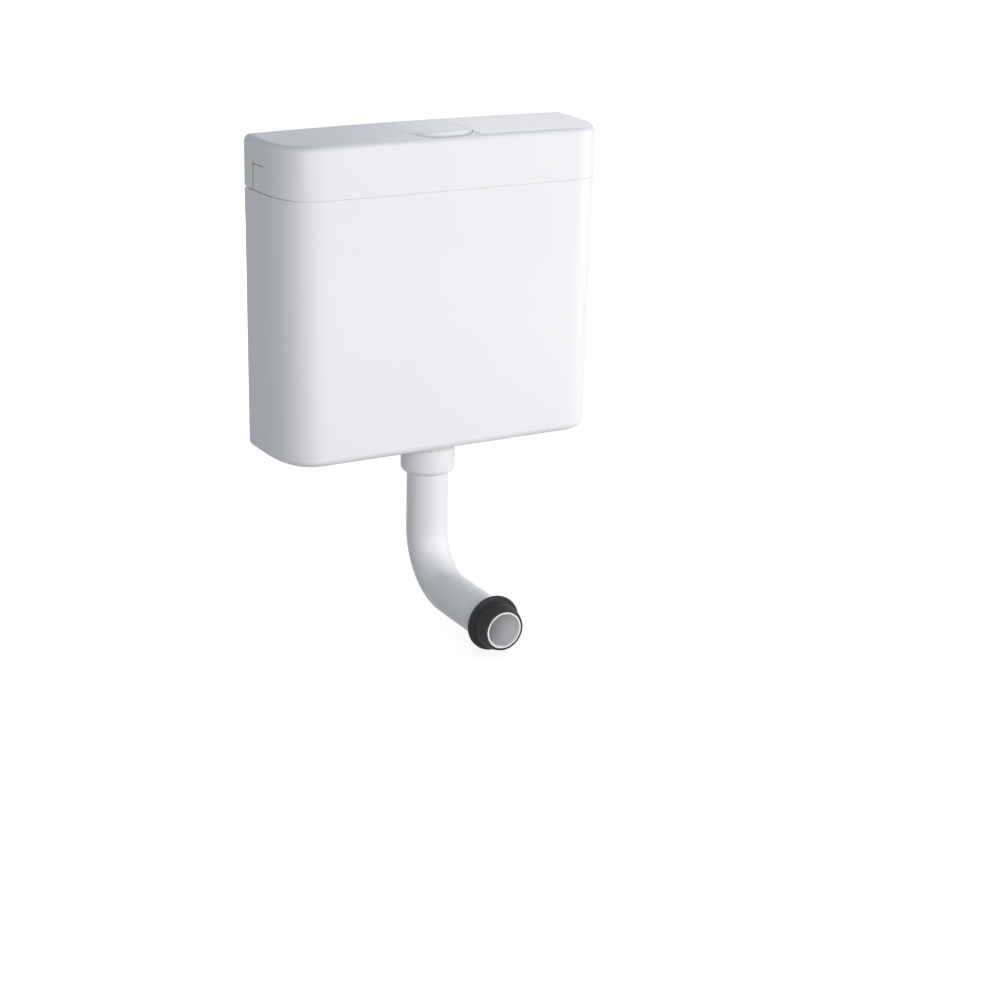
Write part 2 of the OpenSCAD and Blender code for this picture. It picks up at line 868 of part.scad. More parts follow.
module lid() {
    low = seam_z + seam_gap;
    color(shell_white)
        difference() {
            union() {
                difference() {
                    lid_form(0, 0, low, lid_z, lid_round);
                    lid_form(lid_wall, lid_wall, low - over, lid_in_z, lid_round - lid_wall);
                }
                lid_ribs(back_ribs, -lid_wall + over, -rib_in);
                lid_ribs(front_ribs, -tank_d + rib_in, -tank_d + lid_wall - over);
                for (side = [-1, 1])
                    for (y = frame_lug_y)
                        translate([side * frame_lug_x, -y, frame_lug_z + seat_gap])
                            cylinder(h = lid_in_z - frame_lug_z, d = screw_boss_d);
            }
            translate([0, 0, frame_z])
                linear_extrude(lid_rise)
                    polygon(key_plan(key_gap, key_front + key_sweep - key_gap));
            for (side = [-1, 1])
                for (y = frame_lug_y)
                    translate([side * frame_lug_x, -y, frame_lug_z - over])
                        cylinder(h = screw_len, d = screw_d + 2 * running_gap);
            translate([-tank_w / 2 - over, -tab_back - slit_w / 2, low - over])
                cube([lid_wall + 3 * over, slit_w, tab_h - seam_gap + over + slit_w / 2]);
            translate([-tank_w / 2 - over, -tab_back - tab_w, seam_z + tab_h - slit_w / 2])
                cube([lid_wall + 3 * over, tab_w, slit_w]);
            translate([tank_w / 2 - lid_wall - 2 * over, -tab_back - tab_w, low - over])
                cube([lid_wall + 3 * over, tab_w, tab_h - seam_gap + over]);
            for (side = [-1, 1])
                translate([side * tank_w / 2, 0, low])
                    rotate([45, 0, 0])
                        cube([chamfer_run, rear_chamfer * sqrt(2), rear_chamfer * sqrt(2)], center = true);
        }
}

module button_frame() {
    color(valve_grey)
        difference() {
            union() {
                translate([-frame_side - frame_wall, -frame_front - frame_wall, frame_z])
                    cube([2 * (frame_side + frame_wall), frame_front - frame_back + 2 * frame_wall,
                        lid_in_z - frame_top_gap - frame_z]);
                for (side = [-1, 1])
                    for (y = frame_lug_y) {
                        translate([side * frame_lug_x, -y, frame_lug_z - frame_lug_t])
                            cylinder(h = frame_lug_t, d = frame_lug_d);
                        translate([side * (frame_side + frame_lug_x) / 2 - (frame_lug_x - frame_side) / 2,
                            -y - frame_lug_d / 2, frame_lug_z - frame_lug_t])
                            cube([frame_lug_x - frame_side, frame_lug_d, frame_lug_t]);
                    }
            }
            translate([-frame_side, -frame_front, frame_lug_z - frame_lug_t - over])
                cube([2 * frame_side, frame_front - frame_back, lid_rise]);
            translate([0, -key_hinge_y, key_hinge_z])
                along_x(key_pin_d / 2 + running_gap, -tank_w, tank_w);
            for (side = [-1, 1])
                for (y = frame_lug_y)
                    translate([side * frame_lug_x, -y, frame_lug_z - frame_lug_t - over])
                        cylinder(h = lid_rise, d = screw_d + 2 * slip_gap);
        }
}

module frame_screws() {
    color(steel)
        for (side = [-1, 1])
            for (y = frame_lug_y)
                translate([side * frame_lug_x, -y, frame_lug_z - frame_lug_t]) {
                    translate([0, 0, -screw_head_h])
                        cylinder(h = screw_head_h, d = screw_head_d);
                    translate([0, 0, -over])
                        cylinder(h = screw_len + over, d = screw_d);
                }
}

module button_pin() {
    reach = frame_side + frame_wall;
    color(steel)
        translate([0, -key_hinge_y, key_hinge_z])
            along_x(key_pin_d / 2, -reach, reach);
}

// Key form with its walls drawn in by inset and its top lowered by drop
module key_form(inset, drop, low) {
    intersection() {
        translate([0, 0, low])
            linear_extrude(lid_z + key_lip + over - low)
                polygon(key_plan(-inset, key_front));
        rotate([90, 0, 90])
            translate([0, 0, -key_w])
                linear_extrude(2 * key_w)
                    polygon(key_top(drop));
    }
}

module flush_button() {
    color(shell_white)
        difference() {
            union() {
                difference() {
                    key_form(0, 0, key_skirt_z);
                    key_form(key_wall, key_wall, key_skirt_z - over);
                }
                for (side = [-1, 1])
                    translate([side * (key_w / 2 - key_ear_t / 2), -key_hinge_y, key_hinge_z]) {
                        along_x(key_ear_r, -key_ear_t / 2, key_ear_t / 2);
                        translate([-key_ear_t / 2, -key_ear_r, 0])
                            cube([key_ear_t, key_ear_r + key_ear_back, lid_z - key_hinge_z - over]);
                    }
                translate([0, -push_y, push_boss_z])
                    cylinder(h = lid_z - push_boss_z, r = push_boss_r);
            }
            translate([0, -key_hinge_y, key_hinge_z])
                along_x(key_pin_d / 2 + running_gap, -tank_w, tank_w);
            translate([0, -push_y, push_boss_z - over])
                cylinder(h = lid_z - push_boss_z - key_wall + over, d = push_d + 2 * running_gap);
        }
}

module push_screw() {
    color(part_white)
        translate([0, -push_y, push_tip_z])
            rotate_extrude()
                polygon(rod_outline(push_d / 2, lid_z - push_top_drop - push_tip_z));
}

module push_locknut() {
    color(part_white)
        translate([0, -push_y, push_boss_z - locknut_t])
            difference() {
                cylinder(h = locknut_t, d = locknut_af / cos(30), $fn = 6);
                translate([0, 0, -over])
                    cylinder(h = locknut_t + 2 * over, d = push_d + 2 * running_gap);
            }
}

module fill_valve_body() {
    color(part_white)
        difference() {
            union() {
                at_supply() {
                    along_x(tail_d / 2 - tail_relief, head_x, tail_x - over);
                    along_x(tail_d / 2, tail_free_x, tail_x);
                    along_x(flange_r, flange_x - flange_t, flange_x);
                }
                at_head() {
                    translate([0, 0, head_z])
                        cylinder(h = head_top_z - head_z, d = head_d);
                    translate([0, 0, column_z])
                        cylinder(h = column_len + over, d = column_d);
                    translate([0, 0, column_z])
                        cylinder(h = stop_h, r = stop_r);
                }
            }
            at_supply()
                along_x(tail_bore_r, head_x, tail_x + over);
            at_head() {
                translate([0, 0, column_z - over])
                    cylinder(h = column_len + over, r = column_bore_r);
                translate([0, 0, head_top_z - diaphragm_recess])
                    cylinder(h = diaphragm_recess + over, r = diaphragm_recess_r);
            }
        }
}

module fill_valve_cap() {
    color(valve_blue)
        difference() {
            union() {
                at_head()
                    translate([0, 0, head_top_z])
                        cylinder(h = cap_t, d = head_d);
                translate([float_lever_x, -supply_y, 0])
                    for (side = [-1, 1])
                        translate([0, side * (float_lever_w / 2 + float_lever_side_gap + ear_t / 2), 0]) {
                            translate([-ear_r, -ear_t / 2, cap_z - over])
                                cube([2 * ear_r, ear_t, float_lever_z - cap_z + over]);
                            translate([0, 0, float_lever_z])
                                along_y(ear_r, -ear_t / 2, ear_t / 2);
                        }
            }
            translate([float_lever_x, -supply_y, float_lever_z])
                along_y(float_pin_d / 2 + running_gap, -tank_d, tank_d);
            at_head() {
                translate([0, 0, head_top_z - over])
                    cylinder(h = cap_t + 2 * over, r = plunger_r + running_gap);
                translate([0, 0, head_top_z - over])
                    cylinder(h = plunger_room_z - head_top_z + over, r = plunger_seal_r + guide_gap);
            }
        }
}

module fill_diaphragm() {
    color(rubber_grey)
        at_head()
            translate([0, 0, head_top_z - diaphragm_recess])
                cylinder(h = diaphragm_t, r = diaphragm_recess_r - slip_gap);
}

module inlet_strainer() {
    color(valve_green)
        at_supply()
            difference() {
                along_x(tail_bore_r - running_gap, tail_x - strainer_len, tail_x);
                along_x(tail_bore_r - strainer_wall, tail_x - strainer_len + strainer_wall, tail_x + over);
            }
}

module inlet_washer() {
    color(rubber_grey)
        at_supply()
            difference() {
                along_x(washer_r, flange_x, supply_pad_x);
                along_x(tail_d / 2 + running_gap, flange_x - over, supply_pad_x + over);
            }
}

module inlet_back_nut() {
    color(part_white)
        at_supply()
            translate([collar_out_x + running_gap, 0, 0])
                rotate([0, 90, 0])
                    difference() {
                        cylinder(h = tail_nut_t, d = tail_nut_af / cos(30), $fn = 6);
                        translate([0, 0, -over])
                            cylinder(h = tail_nut_t + 2 * over, r = tail_d / 2 + thread_gap);
                    }
}

module drop_tube() {
    color(part_white)
        at_head()
            tube(drop_tube_r, drop_tube_r - drop_tube_wall, drop_tube_z, column_z + drop_tube_in);
}

module float() {
    color(valve_grey)
        difference() {
            union() {
                difference() {
                    translate([float_left + float_w / 2, -supply_y, 0])
                        round_block(float_w, float_d, float_round, float_low_z, float_top_z);
                    translate([float_left + float_w / 2, -supply_y, 0])
                        round_block(float_w - 2 * float_wall, float_d - 2 * float_wall,
                            float_round - float_wall, float_low_z - over, float_top_z - float_wall);
                }
                at_head()
                    translate([0, 0, float_low_z])
                        cylinder(h = float_h, r = float_sleeve_r);
                translate([float_rod_x, -supply_y, float_top_z - rod_socket])
                    cylinder(h = rod_socket, r = rod_boss_r);
            }
            at_head()
                translate([0, 0, float_low_z - over])
                    cylinder(h = float_h + 2 * over, d = column_d + 2 * guide_gap);
            translate([float_rod_x, -supply_y, float_top_z - rod_socket + rod_socket_floor])
                cylinder(h = rod_socket, d = float_rod_d + 2 * running_gap);
        }
}

module float_rod() {
    top = float_rod_end_z + clip_gap + clip_t + rod_out;
    low = float_top_z - rod_socket + rod_socket_floor;
    color(steel)
        translate([float_rod_x, -supply_y, low])
            cylinder(h = top - low, d = float_rod_d);
}

module rod_clips() {
    color(valve_green)
        translate([float_rod_x, -supply_y, float_rod_end_z])
            for (z = [clip_gap, -clip_gap - clip_t])
                tube(clip_r, float_rod_d / 2 + running_gap, z, z + clip_t);
}

module float_lever() {
    nose = pilot_arm + plunger_r + float_lever_nose;
    end = float_arm + slot_reach + float_lever_end;
    color(valve_blue)
        translate([float_lever_x, -supply_y, float_lever_z])
            rotate([0, -lever_half_angle, 0])
                difference() {
                    union() {
                        translate([-end, -float_lever_w / 2, -float_lever_t / 2])
                            cube([end + nose, float_lever_w, float_lever_t]);
                        along_y(float_pin_d / 2 + float_lever_hub_wall, -float_lever_w / 2, float_lever_w / 2);
                    }
                    along_y(float_pin_d / 2 + running_gap, -tank_d, tank_d);
                    translate([-float_arm - slot_reach, -float_rod_d / 2 - guide_gap, -float_lever_t])
                        cube([2 * slot_reach, float_rod_d + 2 * guide_gap, 2 * float_lever_t]);
                }
}

module float_lever_pin() {
    reach = float_lever_w / 2 + float_lever_side_gap + ear_t + float_pin_out;
    color(steel)
        translate([float_lever_x, -supply_y, float_lever_z])
            along_y(float_pin_d / 2, -reach, reach);
}

module valve_plunger() {
    color(part_white)
        at_head()
            translate([0, 0, plunger_tip_z])
                mirror([0, 0, 1])
                    rotate_extrude()
                        polygon(rod_outline(plunger_r, plunger_tip_z - plunger_low_z));
}

module plunger_seal() {
    color(rubber_red)
        at_head()
            tube(plunger_seal_r, plunger_r + running_gap, plunger_low_z, plunger_low_z + plunger_seal_t);
}

module supply_blank_plug() {
    color(part_white)
        at_supply() {
            along_x(washer_r, -flange_x, -flange_x + flange_t);
            along_x(tail_d / 2 - tail_relief, -collar_out_x + seat_gap, -flange_x + over);
            translate([-flange_x + over, -plug_grip_t / 2, -plug_grip_h / 2])
                cube([flange_t - over + plug_grip_out, plug_grip_t, plug_grip_h]);
        }
}

module blank_plug_seal() {
    color(rubber_grey)
        at_supply()
            difference() {
                along_x(washer_r, -supply_pad_x, -flange_x);
                along_x(tail_d / 2 + running_gap, -supply_pad_x - over, -flange_x + over);
            }
}

cistern_body();
insulation_liner();
outlet_seat();
outlet_gasket();
outlet_back_nut();
coupling_nut();
cone_seal();
flush_bend();
flush_cone();
valve_cage();
lever_bridge();
lever_pin();
lift_lever();
overflow_tube();
valve_foot();
seal_disc();
valve_float();
lift_rod();
lift_collar();
lid();
button_frame();
frame_screws();
button_pin();
flush_button();
push_screw();
push_locknut();
fill_valve_body();
fill_valve_cap();
fill_diaphragm();
inlet_strainer();
inlet_washer();
inlet_back_nut();
drop_tube();
float();
float_rod();
rod_clips();
float_lever();
float_lever_pin();
valve_plunger();
plunger_seal();
supply_blank_plug();
blank_plug_seal();
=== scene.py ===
# %% [markdown]
# # A low-level wall cistern, dressed piece by piece
# The CAD model gives every piece its size, place and joint. This lesson gives each one the soft
# edges, wall thickness and finish of the real moulding. The origin is on the wall, midway between
# the two fixing holes: X runs right, -Y comes out of the wall and Z is up, in metres.

# %% Load the frame
import json
import math

import bmesh
import bpy
from mathutils import Matrix, Vector


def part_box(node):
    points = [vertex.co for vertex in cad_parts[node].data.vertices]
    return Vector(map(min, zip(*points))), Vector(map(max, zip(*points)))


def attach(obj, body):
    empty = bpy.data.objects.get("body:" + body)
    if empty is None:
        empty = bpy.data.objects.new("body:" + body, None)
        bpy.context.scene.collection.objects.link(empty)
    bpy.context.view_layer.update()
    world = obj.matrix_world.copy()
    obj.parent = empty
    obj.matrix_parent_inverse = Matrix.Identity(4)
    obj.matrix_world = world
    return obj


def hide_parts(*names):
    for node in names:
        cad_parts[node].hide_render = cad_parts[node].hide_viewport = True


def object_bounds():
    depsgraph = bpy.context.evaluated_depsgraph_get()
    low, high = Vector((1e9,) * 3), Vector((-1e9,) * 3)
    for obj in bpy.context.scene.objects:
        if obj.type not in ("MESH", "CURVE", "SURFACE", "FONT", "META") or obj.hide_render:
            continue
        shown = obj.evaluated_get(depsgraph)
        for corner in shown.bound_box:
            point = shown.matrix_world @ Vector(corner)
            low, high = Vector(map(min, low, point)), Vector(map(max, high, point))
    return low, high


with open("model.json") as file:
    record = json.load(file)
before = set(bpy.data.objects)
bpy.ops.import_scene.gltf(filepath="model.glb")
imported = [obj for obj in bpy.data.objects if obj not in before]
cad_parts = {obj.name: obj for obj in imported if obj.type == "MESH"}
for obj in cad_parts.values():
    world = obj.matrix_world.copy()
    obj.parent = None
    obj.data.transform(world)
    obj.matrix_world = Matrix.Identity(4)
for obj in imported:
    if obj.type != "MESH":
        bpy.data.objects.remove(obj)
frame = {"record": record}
cad_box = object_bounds()
home = {n: body for body, nodes in frame["record"]["behaviour"]["bodies"].items() for n in nodes}

# %% [markdown]
# ## Sizes from the frame
# The CAD boxes say where every piece lies and how far it reaches. Three helpers read them in
# millimetres: one gives a piece's two corners, one a point on a round piece's axis, and one its
# radius and its two ends. What a box can't show, such as a bore, a wall or a soft edge, is named
# where it is used.

# %% Boxes and axes
MM = 0.001


def span(node):
    """The lowest and the highest corner of a CAD node, in millimetres."""
    return [Vector([round(c / MM, 2) for c in corner]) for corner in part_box(node)]


def axis_of(node, along=""):
    """A point on a round CAD node's axis, in millimetres, at zero along that axis."""
    low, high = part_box(node)
    spot = (low + high) / (2 * MM)
    return tuple(0 if name == along else round(value, 2) for name, value in zip("XYZ", spot))


def ends(node, base, axis="Z"):
    """A round CAD node's radius about an axis, and where it starts and stops along that axis."""
    low, high = span(node)
    side, along = {"X": (2, 0), "Y": (0, 1), "Z": (0, 2)}[axis]
    return high[side] - base[side], low[along] - base[along], high[along] - base[along]


OUTLET = axis_of("overflow_tube", "Z")
TIP = axis_of("flush_cone", "Y")
SUPPLY = axis_of("inlet_back_nut", "X")
LEVER = axis_of("lever_pin", "X")
HINGE = axis_of("button_pin", "X")
PUSH = axis_of("push_screw", "Z")
HEAD = axis_of("fill_valve_cap", "Z")
LINK = axis_of("float_rod", "Z")
ARM = axis_of("float_lever_pin")
print("outlet at", OUTLET, "supply at", SUPPLY)

# %% [markdown]
# ## The camera
# The view is from the left, a little above the lid. A long lens keeps the edges nearly parallel,
# as in a catalogue picture. The camera could be aimed with a constraint, but three angles and a
# place say the same thing with nothing left to solve, and they keep the slight tilt of the frame.

# %% Camera
VIEW_ANGLES = (-30.165, 19.336, 1.416)
STAND = (-1163.25, -2231.28, 500.58)
SENSOR, LENS = 36, 78.12
azimuth, elevation, roll = (math.radians(a) for a in VIEW_ANGLES)
back = Vector((math.sin(azimuth) * math.cos(elevation), -math.cos(azimuth) * math.cos(elevation),
               math.sin(elevation)))
right = Vector((math.cos(azimuth), math.sin(azimuth), 0))
up = right.cross(-back)
tilted_right = right * math.cos(roll) + up * math.sin(roll)
tilted_up = up * math.cos(roll) - right * math.sin(roll)
bpy.ops.object.camera_add()
camera = bpy.context.object
camera.name = "catalogue_camera"
camera.data.sensor_width = SENSOR
camera.data.lens = LENS
camera.data.clip_end = 100
turn = Matrix((tilted_right, tilted_up, back)).transposed().to_4x4()
camera.matrix_world = Matrix.Translation(Vector(STAND) * MM) @ turn
bpy.context.scene.camera = camera
print("lens", camera.data.lens, "place", [round(x, 3) for x in camera.location])

# %% [markdown]
# ## Node maths
# A finish is easier to read as arithmetic than as a tangle of nodes. One small class wraps a
# socket, so that `0.3 + 0.1 * grain` adds the Math nodes by itself, and one method adds any
# other node from its type, its settings and its inputs.


# %% Sockets as numbers
class Flow:
    """A socket whose value can be added to, multiplied and so on."""

    def __init__(self, nodes, socket):
        self.nodes = nodes
        self.socket = socket

    def sum(self, operation, first, second):
        """A Math node on two values."""
        return self.nodes.add("ShaderNodeMath", {"operation": operation}, {0: first, 1: second})

    def __add__(self, other):
        return self.sum("ADD", self, other)

    def __sub__(self, other):
        return self.sum("SUBTRACT", self, other)

    def __rsub__(self, other):
        return self.sum("SUBTRACT", other, self)

    def __mul__(self, other):
        return self.sum("MULTIPLY", self, other)

    __radd__ = __add__
    __rmul__ = __mul__


class Nodes:
    """A node tree to which nodes are added by type."""

    def __init__(self, tree):
        self.tree = tree

    def put(self, socket, value):
        """Links a socket, or sets its own value."""
        if isinstance(value, Flow):
            self.tree.links.new(value.socket, socket)
        else:
            socket.default_value = value

    def add(self, kind, settings=None, inputs=None, out=0):
        """Adds a node, sets it up and gives one of its outputs."""
        node = self.tree.nodes.new(kind)
        for name, value in (settings or {}).items():
            if name == "stops":
                for stop, (position, shade) in zip(node.color_ramp.elements, value):
                    stop.position = position
                    stop.color = (shade, shade, shade, 1)
            else:
                setattr(node, name, value)
        for name, value in (inputs or {}).items():
            self.put(node.inputs[name], value)
        return Flow(self, node.outputs[out])

    def mix(self, factor, first, second):
        """Blends two colours."""
        return self.add("ShaderNodeMix", {"data_type": "RGBA"}, {0: factor, 6: first, 7: second}, 2)

    def seen(self):
        """One for rays from the camera or off a mirror or through glass, zero for other light."""
        kinds = ("Is Camera Ray", "Is Glossy Ray", "Is Transmission Ray")
        first, second, third = (self.add("ShaderNodeLightPath", out=kind) for kind in kinds)
        return first + second + third


class Finish(Nodes):
    """A node material: constants go on the shader's own sockets, links carry what varies."""

    def __init__(self, name, **constants):
        self.material = bpy.data.materials.new(name)
        self.material.use_nodes = True
        super().__init__(self.material.node_tree)
        self.shader = self.tree.nodes["Principled BSDF"]
        for socket, value in constants.items():
            self.shader.inputs[socket.replace("_", " ")].default_value = value
        self.place = self.add("ShaderNodeTexCoord", out="Object")

    def noise(self, scale, detail=2, stretch=None):
        """Cloudy noise over the piece."""
        place = self.place
        if stretch:
            place = self.add("ShaderNodeMapping", None, {"Vector": place, "Scale": stretch})
        return self.add("ShaderNodeTexNoise", None,
                        {"Vector": place, "Scale": scale, "Detail": detail})

    def feed(self, **links):
        """Links what varies to the shader's sockets."""
        for socket, value in links.items():
            self.put(self.shader.inputs[socket.replace("_", " ")], value)

    def bump(self, height, strength, distance):
        """Turns a height into a bump of the surface."""
        self.feed(Normal=self.add("ShaderNodeBump", None,
                                  {"Height": height, "Strength": strength, "Distance": distance}))


def tint(red, green, blue):
    """An opaque colour."""
    return (red, green, blue, 1)


print("node maths ready")

# %% [markdown]
# ## The stage and the light
# The floor is pale and plain. Seen by the camera it is lifted to white, more so far away, but the
# light that falls on it still counts, so the shadow stays. A large soft lamp stands in front on the
# left and a weaker one on the right, with a low strip between them that lights the tank's lower
# edge. Others stand on the right, above and behind: the front is bright, the left side dim and the
# top lies in between. All stay at a level at which a colour comes out about as it is written.

# %% Floor and surroundings
FLOOR_SIZE, FLOOR_DROP = 60, 0.0005
NEAR, FAR = 0.4, 1.8
BOUNCE, CATCH, LIFT = tint(0.22, 0.22, 0.24), tint(0.5, 0.5, 0.5), tint(0.78, 0.78, 0.78)
WHITE = tint(1, 1, 1)
bpy.ops.object.select_all(action="DESELECT")
bpy.ops.mesh.primitive_plane_add(size=FLOOR_SIZE, location=(0, 0, cad_box[0].z - FLOOR_DROP))
floor = bpy.context.object
floor.name = "studio_floor"

pale = Finish("floor_pale", Base_Color=BOUNCE, Roughness=0.9, Specular_IOR_Level=0.0)
distance = pale.add("ShaderNodeVectorMath", {"operation": "LENGTH"}, {0: pale.place}, "Value")
far = pale.add("ShaderNodeMapRange", None, {"Value": distance, "From Min": NEAR, "From Max": FAR})
lit = pale.add("ShaderNodeBsdfDiffuse", None, {"Color": CATCH})
glow = pale.add("ShaderNodeEmission", None, {"Color": pale.mix(far, LIFT, WHITE)})
lifted = pale.add("ShaderNodeAddShader", None, {0: lit, 1: glow})
shown = pale.add("ShaderNodeMixShader", None,
                 {0: pale.seen(), 1: Flow(pale, pale.shader.outputs[0]), 2: lifted})
pale.put(pale.tree.nodes["Material Output"].inputs["Surface"], shown)
floor.data.materials.append(pale.material)

AMBIENT = 0.2
AMBIENT_SHADE = (0.74, 0.88, 1.1)
world = bpy.data.worlds.new("studio_world")
bpy.context.scene.world = world
world.use_nodes = True
sky = Nodes(world.node_tree)
sky.put(sky.tree.nodes["Background"].inputs["Color"],
        sky.mix(sky.seen(), tint(*(AMBIENT * c for c in AMBIENT_SHADE)), WHITE))
bpy.context.scene.view_settings.view_transform = "Standard"
print("floor at", round(floor.location.z, 4))


# %% Lamps
WARM, COOL = (1.0, 0.985, 0.955), (0.96, 0.98, 1.0)


def lamp(name, place, target, size, watts, shade=WARM, height=None):
    """A soft square or strip lamp that looks at a target, in metres and watts."""
    bpy.ops.object.light_add(type="AREA", location=place)
    made = bpy.context.object
    made.name = name
    made.data.shape = "RECTANGLE"
    made.data.size = size
    made.data.size_y = height or size
    made.data.energy = watts
    made.data.color = shade
    made.visible_camera = False
    aim = Vector(target) - Vector(place)
    made.rotation_euler = aim.to_track_quat("-Z", "Y").to_euler()


MIDDLE = (0, -0.06, -0.1)
LID_END = (0.1, -0.05, 0.08)
UNDERSIDE = (0.05, -0.1, -0.28)
lamp("key_lamp", (-1.3, -2.7, 0.25), MIDDLE, 2.0, 52)
lamp("front_lamp", (1.6, -2.6, 0.2), MIDDLE, 2.0, 20)
lamp("low_lamp", (0.55, -1.1, -0.42), UNDERSIDE, 1.6, 2.0, height=0.14)
lamp("side_lamp", (2.2, -1.0, 0.0), MIDDLE, 1.2, 24)
lamp("top_lamp", (1.1, -0.2, 0.8), LID_END, 0.5, 1.8)
lamp("rear_top_lamp", (0.8, 0.9, 0.75), LID_END, 0.6, 4.2)
lamp("back_lamp", (0.25, 2.2, -0.1), MIDDLE, 0.8, 20, COOL)

# %% [markdown]
# ## The finishes
# Nine finishes cover the cistern. The shell is white gloss plastic: smooth, with the faint
# orange-peel of a moulding and a slight wandering of its shade. The fittings are satin plastic with
# a fine spark-eroded grain, the seals are rubber with a dusty bloom, the pins are drawn bar and
# the lining is foam, whose beads show.


# %% White gloss shell
def gloss_shell():
    """Smooth white plastic with a faint orange-peel."""
    made = Finish("shell_white", Specular_IOR_Level=0.36, Coat_Roughness=0.12)
    drift = made.noise(7, 3)
    peel = made.noise(420, 2)
    scuff = made.noise(60, 6)
    made.feed(
        Base_Color=made.mix(drift, tint(0.835, 0.84, 0.86), tint(0.87, 0.875, 0.885)),
        Roughness=0.30 + 0.08 * drift + 0.12 * scuff * scuff,
        Coat_Weight=0.03 + 0.06 * drift,
    )
    made.bump(peel, 0.04, 0.0003)
    return made.material


finishes = {"shell_white": gloss_shell()}
print("finish:", *finishes)


# %% Satin fittings
def satin(name, dark, light):
    """Satin plastic that wanders between two shades."""
    made = Finish(name, Specular_IOR_Level=0.45)
    drift = made.noise(28, 4)
    grain = made.noise(1900, 2)
    made.feed(
        Base_Color=made.mix(drift * 0.8 + grain * 0.2, dark, light),
        Roughness=0.36 + 0.12 * drift + 0.08 * grain,
    )
    made.bump(grain + 0.4 * drift, 0.10, 0.00012)
    return made.material


finishes.update({
    "fitting_white": satin("fitting_white", tint(0.70, 0.71, 0.71), tint(0.80, 0.81, 0.81)),
    "valve_grey": satin("valve_grey", tint(0.27, 0.29, 0.31), tint(0.35, 0.37, 0.39)),
    "valve_blue": satin("valve_blue", tint(0.018, 0.075, 0.24), tint(0.03, 0.12, 0.34)),
    "clip_green": satin("clip_green", tint(0.03, 0.20, 0.10), tint(0.05, 0.29, 0.15)),
})
print("satin finishes:", len(finishes) - 1)


# %% Rubber, steel and foam
def rubber(name, dark, bloom):
    """Dull rubber with a dusty bloom."""
    made = Finish(name, Specular_IOR_Level=0.3)
    dust = made.noise(90, 5)
    grain = made.noise(2600, 2)
    made.feed(
        Base_Color=made.mix(dust * dust, dark, bloom),
        Roughness=0.58 + 0.25 * dust,
    )
    made.bump(grain + dust, 0.18, 0.00012)
    return made.material


def drawn_steel():
    """Bright bar with fine streaks along it."""
    made = Finish("pin_steel", Metallic=1.0)
    streak = made.noise(60, 3, (6, 220, 220))
    smear = made.noise(140, 4)
    made.feed(
        Base_Color=made.mix(smear, tint(0.56, 0.57, 0.59), tint(0.72, 0.73, 0.74)),
        Roughness=0.20 + 0.16 * streak + 0.06 * smear,
    )
    made.bump(streak, 0.08, 0.00008)
    return made.material


def bead_foam():
    """Pale foam whose beads are pressed together."""
    made = Finish("liner_foam", Specular_IOR_Level=0.25)
    cell = made.add("ShaderNodeTexVoronoi", {"feature": "DISTANCE_TO_EDGE"},
                    {"Vector": made.place, "Scale": 300})
    seam = made.add("ShaderNodeValToRGB", {"stops": [(0.0, 0.0), (0.12, 1.0)]}, {"Fac": cell})
    drift = made.noise(40, 3)
    made.feed(
        Base_Color=made.mix(seam * (0.75 + 0.25 * drift), tint(0.66, 0.66, 0.63),
                            tint(0.86, 0.86, 0.83)),
        Roughness=0.62 + 0.2 * drift,
    )
    made.bump(seam + 0.3 * drift, 0.35, 0.0006)
    return made.material


finishes.update({
    "rubber_grey": rubber("rubber_grey", tint(0.016, 0.016, 0.018), tint(0.07, 0.07, 0.075)),
    "rubber_red": rubber("rubber_red", tint(0.20, 0.022, 0.016), tint(0.32, 0.06, 0.045)),
    "pin_steel": drawn_steel(),
    "liner_foam": bead_foam(),
})
print("finishes:", sorted(finishes))

# %% [markdown]
# ## Modelling helpers
# Every piece starts as a primitive and is drawn in millimetres, as on a drawing, because cuts of a
# tenth of a millimetre come out cleaner there than in metres. An operator works on all that is
# selected, so one helper clears the selection and another picks parts of a mesh by their place.
# A finished piece is brought to metres, put on its CAD body and takes a finish from a slot.


# %% Select, pick and fit
def clear():
    """Leaves edit mode and deselects everything."""
    if bpy.context.object and bpy.context.object.mode != "OBJECT":
        bpy.ops.object.mode_set(mode="OBJECT")
    bpy.ops.object.select_all(action="DESELECT")


def choose(piece, mode="OBJECT"):
    """Selects one piece alone, in object or edit mode."""
    clear()
    piece.select_set(True)
    bpy.context.view_layer.objects.active = piece
    bpy.ops.object.mode_set(mode=mode)


def middle(part):
    """The middle of a vertex, edge or face."""
    corners = getattr(part, "verts", None) or [part]
    return sum((v.co for v in corners), Vector()) / len(corners)


def run(edge):
    """The direction of an edge, without a sign."""
    way = (edge.verts[1].co - edge.verts[0].co).normalized()
    return Vector((abs(way.x), abs(way.y), abs(way.z)))


def pick(kind, test):
    """Selects the vertices, edges or faces that pass a test, in edit mode."""
    bpy.ops.mesh.select_mode(type=kind)
    bpy.ops.mesh.select_all(action="DESELECT")
    mesh = bmesh.from_edit_mesh(bpy.context.object.data)
    found = [p for p in {"VERT": mesh.verts, "EDGE": mesh.edges, "FACE": mesh.faces}[kind] if test(p)]
    for part in found:
        part.select_set(True)
    mesh.select_flush_mode()
    bmesh.update_edit_mesh(bpy.context.object.data)


def bevel(offset, steps, profile=0.5):
    """Rounds the selected edges."""
    bpy.ops.mesh.bevel(offset=offset, segments=steps, profile=profile, affect="EDGES")


def shape(piece, kind, **settings):
    """Adds a modifier and applies it at once."""
    choose(piece)
    step = piece.modifiers.new(kind.lower(), kind)
    for name, value in settings.items():
        setattr(step, name, value)
    bpy.ops.object.modifier_apply(modifier=step.name)
    return piece


